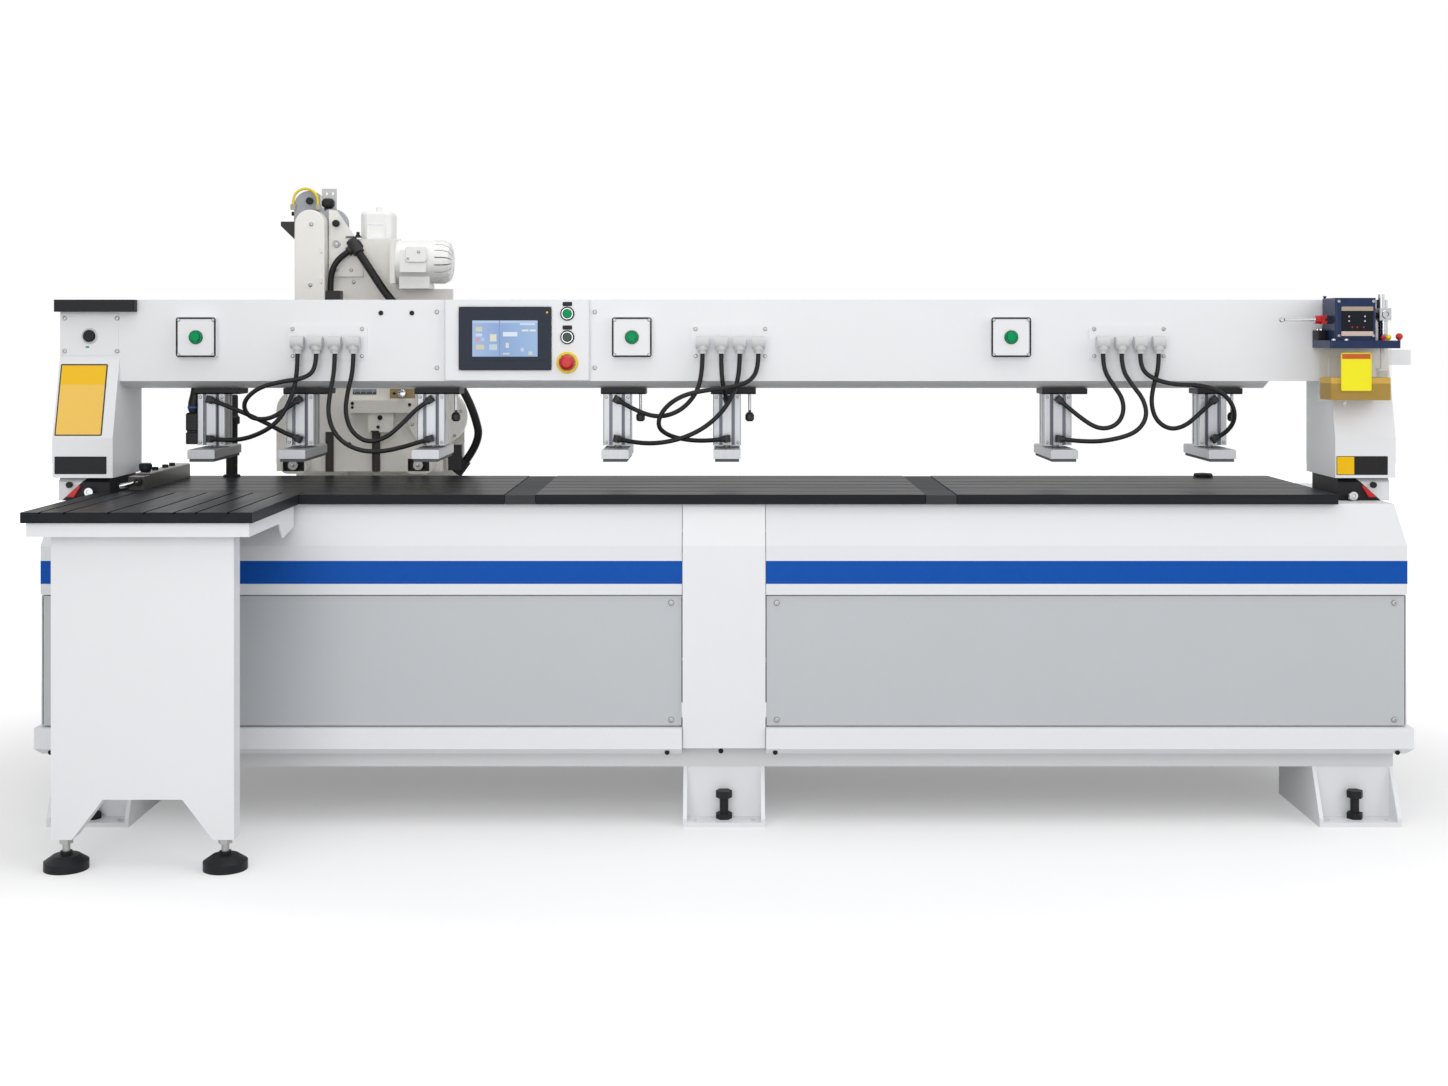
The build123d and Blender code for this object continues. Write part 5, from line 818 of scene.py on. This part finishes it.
# Left column: control plate round the power button, its bezel, a small mark
dress({
    "controlPlate": {
        "at": [(-1678, -319, 1255)], "size": (152, 112), "hole": 15.6, "thick": 2, "finish": "whiteCoat"},
    "powerBezel": {
        "at": [(-1678, -321, 1251)], "finish": "paleFitting", "steps": 48, "ring": True,
        "rows": [(20.8, 0), (20.8, 3), (19.2, 4.8), (17.2, 4.8), (15.8, 3.4), (15.8, 0)]},
    "powerMark": {
        "at": [(-1684, -321, 1222)], "size": (9, 4), "corner": 1.2,
        "levels": [(0, 0), (0, 0.6), (0.4, 0.9)], "finish": "greenPlastic"},
})

# Blank plates: one on the left column's leaning face, whose low and high edges are given by y and z, and one on
# the foot of each column
plateLevels = [(0, 0), (0, 0.7), (0.3, 1)]
leanSettings = {"low": (-375, 985), "high": (-319, 1200), "x": -1690, "middle": 1083.5}
lean = np.subtract(leanSettings["high"], leanSettings["low"])
leanY, leanZ = lean / np.linalg.norm(lean)
leanBack = leanSettings["low"][0] + (leanSettings["middle"] - leanSettings["low"][1]) * leanY / leanZ
footBlack = (0.005, 0.005, 0.006)
dress({
    "leaningPlate": {
        "at": [(leanSettings["x"], leanBack, leanSettings["middle"])], "size": (124, 193), "corner": 3,
        "along": [(1, 0, 0), (0, leanY, leanZ), (0, -leanZ, leanY)], "slot": "white_paint",
        "finish": bandedPlate(
            "leaningPlate", "z", split=1.123, deep=(0.90, 0.52, 0.0), pale=(0.89, 0.56, 0.10),
            line=(0.03, 0.028, 0.02), inside=(-1.7485, -1.6315, 0.9935, 1.1735))},
    "leftFootPlate": {"at": [(-1683, -375, 913)], "size": (136, 46), "corner": 2, "finish": "blackPlastic"},
    "rightFootPlate": {
        "at": [(1669, -375, 912.5)], "size": (134, 49), "corner": 2, "slot": "white_paint",
        "finish": bandedPlate(
            "rightFootPlate", "x", split=1.648, deep=footBlack, pale=(0.86, 0.50, 0.0), line=footBlack,
            wear=0.02, inside=(1.6035, 1.7345, 0.8895, 0.9355))},
}, levels=plateLevels)
print("screws, bezels and plates added")

# Column feet: bright adjuster rod, red wedge and black thumb screw before each base; a wedge's outline is given
# outwards from its column's middle and in height
wedgeSettings = {"face": -363, "columns": ((-1683, -1), (1669, 1)), "rise": (0, 6.5, 8), "drawnIn": 0.1,
                 "outline": ((1, 859), (7, 859), (41, 829), (19, 829))}


# Wedge: an outline carried forwards in three levels, the last one drawn in a little to its middle
def slantedWedge(middle, side):
    outline = np.array(wedgeSettings["outline"], float)
    drawn = outline + (outline.mean(0) - outline) * wedgeSettings["drawnIn"]
    rings = [np.c_[middle + side * edge[:, 0], np.full(len(edge), wedgeSettings["face"] - rise), edge[:, 1]]
             for edge, rise in zip((outline, outline, drawn), wedgeSettings["rise"])]
    return skin([ring[::-side] for ring in rings])


piece("baseWedges", [slantedWedge(*column) for column in wedgeSettings["columns"]], "redPlastic")
dress({
    "adjusterRods": {
        "at": [(-1657, -363, 844), (1642, -363, 834)], "finish": "chrome",
        "rows": [(12.5, 0), (12.5, 24), (11.2, 27.5), (6, 27.5), (6, 24.5, 1), (0, 24.5)]},
    "baseThumbScrews": {
        "at": grid((-1712, 1698), -363, 862), "finish": "blackPlastic", "steps": 24,
        "rows": [(3.5, 0), (3.5, 8), (8.2, 9), (8.2, 17), (6.6, 19), (0, 19.5)]},
})

# On the table: a round puck at the right, a stop post at the back left, the fence's toggle, plate and screws
dress({
    "tablePuck": {
        "at": [(1377, 90, 845)], "along": "z", "finish": "blackPlastic",
        "rows": [(27, 0), (27, 7), (24.5, 10.5), (12, 11.5), (10, 9), (0, 9)]},
    "stopPost": {
        "at": [(-1416, 95, 845)], "along": "z", "finish": "blackCoat",
        "rows": [
            (24, 0), (24, 6), (16.5, 8), (16.5, 150), (22.5, 153), (22.5, 171), (19, 175), (17.5, 178),
            (17.5, 232), (15, 236), (7, 236, 1), (7, 231, 1), (0, 231)]},
    "fenceToggle": {
        "finish": "chrome", "girth": [5, 7.2, 7.4, 5, 4.6, 5], "steps": 14, "at": [
            [(-1595, -338, 855.5), (-1592, -338.5, 855.5), (-1580, -338, 857.5), (-1568, -337, 861),
             (-1557, -336, 864.5), (-1545, -336, 866.5)]]},
    "toggleBlock": {
        "at": [(-1546, -326, 866)], "finish": "blackCoat", "steps": 30,
        "rows": [(9.5, 0), (9.5, 16), (8, 18), (4.5, 18, 1), (4.5, 14, 1), (0, 14)]},
    "fenceFootPlate": {
        "at": [(-1553, -299, 879)], "along": "z", "size": (40, 50), "corner": 2,
        "levels": [(0, 0), (0, 0.7), (0.4, 1.1)], "finish": "groundSteel"},
    "fenceScrews": {
        "at": grid(-1553, (-169, -81, -20), 885), "along": "z", "finish": "blackPlastic", "steps": 24,
        "rows": [(8.5, 0), (8.5, 7.5), (7.5, 8.5), (4.5, 8.5, 1), (4.5, 4, 1), (0, 4)]},
})

# Clamp fittings: sensor block with its sleeve and blue tie by the first cylinder, end screws on every barrel
dress({
    "sensorBlock": {"finish": "hoseRubber", "parts": [
        {"at": [(-1420.5, -255, 962)], "along": "z", "size": (33, 52), "corner": 5, "levels": [
            (2, 0), (0, 2), (0, 30), (3, 32), (3, 36), (0, 38), (0, 80), (4, 84)]},
        {"girth": [12.5, 15, 15.2, 14.5, 13.5], "steps": 20, "at": [
            [(-1420.5, -255, 1044), (-1422.5, -256, 1056), (-1421.5, -255, 1072), (-1417.5, -252, 1094),
             (-1416.5, -250, 1112)]]}]},
    "sensorTie": {"finish": "bluePlastic", "parts": [
        {"at": [(-1422.2, -256, 1058)], "along": "z", "steps": 30, "ring": True,
         "rows": [(16.2, 0), (16.2, 4), (15, 4), (15, 0)]},
        {"at": [(-1422.2, -271.5, 1060)], "size": (6, 6), "corner": 1, "levels": [(0, 0), (0, 4), (1, 5)]}]},
    "barrelScrews": {"radius": 4.2, "at": grid(astride(clampX, 29), -285, (968, 1088)), "finish": "zincSteel"},
})
print("column feet, table fittings and clamp fittings added")

# Lubricator: dark blank face plate with lamps, corner screws, bracket, pipe, valve
lampRows = [(2.2, 0), (2.2, 0.6), (1.4, 1.4), (0, 1.7)]
dress({
    "pumpScrews": {"radius": 4.2, "at": grid((1587, 1676), -437, (1341, 1251.5)), "finish": "zincSteel"},
    "pumpPlate": {
        "at": [(1634.5, -437, 1289.5)], "size": (82, 76), "corner": 2, "levels": plateLevels,
        "finish": stripPlate(
            "pumpPlate", warmAbove=1.3165, warm=(0.40, 0.33, 0.25), paleBelow=1.2635,
            pale=(0.66, 0.52, 0.46)),
        "slot": "navy_enamel"},
    "paleLamps": {
        "at": grid((1613, 1654), -438, (1302, 1290)), "rows": lampRows, "steps": 16,
        "finish": "paleFitting"},
    "warmLamps": {
        "at": grid((1621, 1634, 1651), -438, 1274), "rows": lampRows, "steps": 16, "finish": "redPlastic"},
    "pumpBracket": {"finish": "blackCoat", "along": "z", "parts": [
        {"at": [(1566.5, -347.5, 1240)], "size": (22, 48), "corner": 2, "levels": [(0, 0), (0, 24), (1.5, 26)]},
        {"at": [(1584, -337, 1350)], "steps": 24,
         "rows": [(3, 0), (3, 2), (4.2, 2.5), (4.2, 5.5), (3.4, 6.5), (0, 6.5)]}]},
    "bracketBolts": {
        "at": [(1566.5, -361, 1266), (1566.5, -334, 1266), (1569, -451, 1240), (1600, -455, 1240)],
        "along": "z", "steps": 18, "finish": "chrome",
        "rows": [(5.5, 0), (5.5, 3.5), (4.8, 4.2), (3, 4.2, 1), (3, 1.8, 1), (0, 1.8)]},
    "pumpPipe": {"finish": "blackPlastic", "parts": [
        {"girth": 7.2, "steps": 18, "at": [
            [(1682, -352, 1305), (1694, -352, 1305), (1708, -351, 1303.5), (1720, -350, 1299),
             (1726.5, -350, 1290), (1727.5, -350, 1275), (1727.5, -350, 1255), (1727.5, -350, 1239.5)]]},
        {"at": [(1683.5, -352, 1305)], "along": "x", "steps": 24,
         "rows": [(10.5, 0), (10.5, 12), (9, 14), (0, 14)]}]},
    "valveRings": {
        "at": grid(1721.5, -384, (1266, 1285)), "along": "z", "steps": 30, "ring": True,
        "rows": [(7.8, 0), (12, 1), (12, 4), (7.8, 5)], "finish": "chrome"},
    "valvePort": {
        "at": [(1721.5, -399, 1308)], "steps": 30, "finish": "chrome",
        "rows": [(11.5, 0), (11.5, 5), (10, 7), (7, 7), (6, 3, 1), (0, 3)]},
    "flangePlug": {
        "at": [(1737, -405, 1230)], "along": "x", "steps": 24, "finish": "blackPlastic",
        "rows": [(4, 0), (4, 4), (6.8, 5), (6.8, 13), (5, 15), (0, 15)]},
})

# Its tank: oil, filter cup and hanging float, sight glass, drain, blank tag
dress({
    "tankOil": {
        "at": [(1639.5, -405.5, 1086.2)], "along": "z", "size": (154.5, 90.5), "corner": 4,
        "levels": [(1, 0), (0, 1), (0, 57), (1, 58)], "slot": "clear_tank",
        "finish": oilPaint("tankOil", split=1.1292, deep=(0.40, 0.22, 0.0), bright=(0.78, 0.46, 0.04))},
    "tankFilter": {"finish": "paleFitting", "steps": 28, "parts": [
        {"at": [(1604, -439.5, 1086.2)], "along": "z", "rows": [
            (10.5, 0), (11.2, 3), (8.8, 19), (7, 21.5), (3.2, 22.5), (3.2, 36), (0, 36)]},
        {"at": [(1700, -432, 1220.5)], "along": "-z",
         "rows": [(5.2, 0), (5.2, 52), (15, 53), (15, 58), (0, 58)]}]},
    "tankSight": {
        "at": [(1700, -432, 1104.5)], "along": "z", "steps": 32, "finish": "clearTank",
        "rows": [(14.5, 0), (14.5, 58), (13.2, 58), (13.2, 2), (0, 2)]},
    "tankDrain": {
        "at": [(1601, -438, 1082)], "along": "-z", "steps": 18, "finish": "paleFitting",
        "rows": [(6.2, 0), (6.2, 3), (4.8, 4, 1), (4.8, 9, 1), (0, 9)]},
    "tankTag": {
        "at": [(1625.5, -455, 1159.3)], "size": (79, 98.5), "corner": 5, "levels": plateLevels,
        "finish": bandedPlate(
            "tankTag", "z", split=1.1925, deep=(0.56, 0.10, 0.01), pale=(0.88, 0.80, 0.0),
            line=(0.84, 0.70, 0.0), inside=(1.589, 1.662, 1.1125, 1.2055)),
        "slot": "clear_tank"},
})
print("lubricator dressed")

# Drilling head's slide: belt cover's screws and latches, bolts, bracket and knobs, terminal lid with its screws
dress({
    "beltCoverScrews": {
        "radius": 6.2, "finish": "zincSteel",
        "at": [(-1224, 255, 1581), (-1227, 255, 1401), (-1229.5, 255, 1100)]},
    "beltCoverLatches": {
        "at": grid(-1194.5, 255, (1504, 1413.6, 1200)), "size": (7, 18), "corner": 3.4,
        "levels": [(0, 0), (0, 2.2), (1.8, 3.8)], "finish": "creamEnamel"},
    "tiePlateBolts": {"finish": "zincSteel", "parts": [
        {"at": [(-1159, 301, 1524.7)], "steps": 30, "rows": [
            (11.5, 0), (11.5, 3), (10, 4.2), (8, 4.2), (6.8, 2), (6.2, 5.5), (0, 6.2)]},
        {"radius": 5.5, "at": [(-1115, 301, 1446.7), (-1109.6, 311, 1410.5), (-1160, 301, 1446.7)]}]},
    "limitBracket": {"finish": "blackCoat", "along": "z", "parts": [
        {"at": [(-1108, 306, 1543.5)], "size": (46, 18), "corner": 2, "levels": [(0, 0), (0, 3), (0.5, 3.5)]},
        {"at": [(-1096, 306, 1547)], "steps": 24,
         "rows": [(7.5, 0), (7.5, 4), (5.2, 5), (5.2, 12), (4, 13.5), (0, 13.5)]}]},
    "pulleyKnobs": {"finish": "blackPlastic", "parts": [
        {"at": [(-1239, 311, 1653), (-1158, 301, 1585)], "steps": 28,
         "rows": [(6, 0), (6, 6), (10.5, 8), (10.5, 19), (8.5, 22), (0, 23)]},
        {"at": [(-1286.5, 326, 1616.5)], "along": "-x", "steps": 24,
         "rows": [(4, 0), (4, 4), (6.2, 5), (6.2, 12), (0, 13)]}]},
    "cableGrommet": {
        "at": [(-1190, 331, 1647)], "size": (38, 30), "corner": 12, "finish": "hoseRubber",
        "levels": [(0, 0), (0, 14), (3, 20), (8, 23.5), (12, 24.5)]},
    "terminalLid": {
        "at": [(-907, 219, 1490)], "size": (64, 48), "corner": 10, "finish": "motorWhite",
        "levels": [(0, 0), (0, 4), (2, 6)]},
    "terminalScrew": {"finish": "zincSteel", "parts": [
        {"radius": 5, "at": [(-898.6, 213, 1497.5)]}, {"radius": 4, "at": [(-930, 213, 1478)]}]},
}, body="lift_slide")

# Its carriage: raised panel on the upright motor's cap
dress({
    "capPanel": {
        "at": [(-1050, 341, 1560)], "size": (56, 60), "corner": 8, "finish": "motorWhite",
        "levels": [(0, -0.5), (0, 1.2), (1.5, 2.4), (6, 2.4), (7.2, 1.4)]},
}, body="carriage")

# Its spindle unit: depth scale, pointer knob, dark screws, screws round the disc
discSettings = {"x": -845, "y": 210, "z": 1010, "reach": 74, "angles": np.radians(np.arange(15, 375, 60))}
discPlaces = [(discSettings["x"] + discSettings["reach"] * math.cos(angle), discSettings["y"],
               discSettings["z"] + discSettings["reach"] * math.sin(angle)) for angle in discSettings["angles"]]
dress({
    "depthScale": {
        "at": [(-1060, 225, 1084.5)], "size": (70, 16), "corner": 1, "slot": "zinc_steel",
        "levels": [(0, -0.3), (0, 0.6), (0.3, 0.9)],
        "finish": scalePaint("depthScale", step=0.0035, middle=1.0845)},
    "pointerKnob": {
        "at": [(-944, 200, 1081.5)], "steps": 32, "finish": "chrome",
        "rows": [(6, 0), (6, 4), (12, 6), (12, 13), (10, 15.5), (4, 16.5), (0, 16.5)]},
    "unitScrews": {"finish": "blackPlastic", "parts": [
        {"radius": 7.5, "at": [(-1010, 200, 1010)]},
        {"radius": 6, "at": [(-1105, 225, 930), (-1235, 225, 1060)]},
        {"radius": 5, "at": [(-1015.5, 200, 982), (-1090, 195, 1052), (-922, 195, 1048)]},
        {"radius": 4, "at": [(-1090, 195, 1040), (-968, 200, 1081)]}]},
    "discScrews": {"radius": 5, "at": discPlaces, "finish": "zincSteel"},
}, body="feed_unit")
print("drilling head dressed")
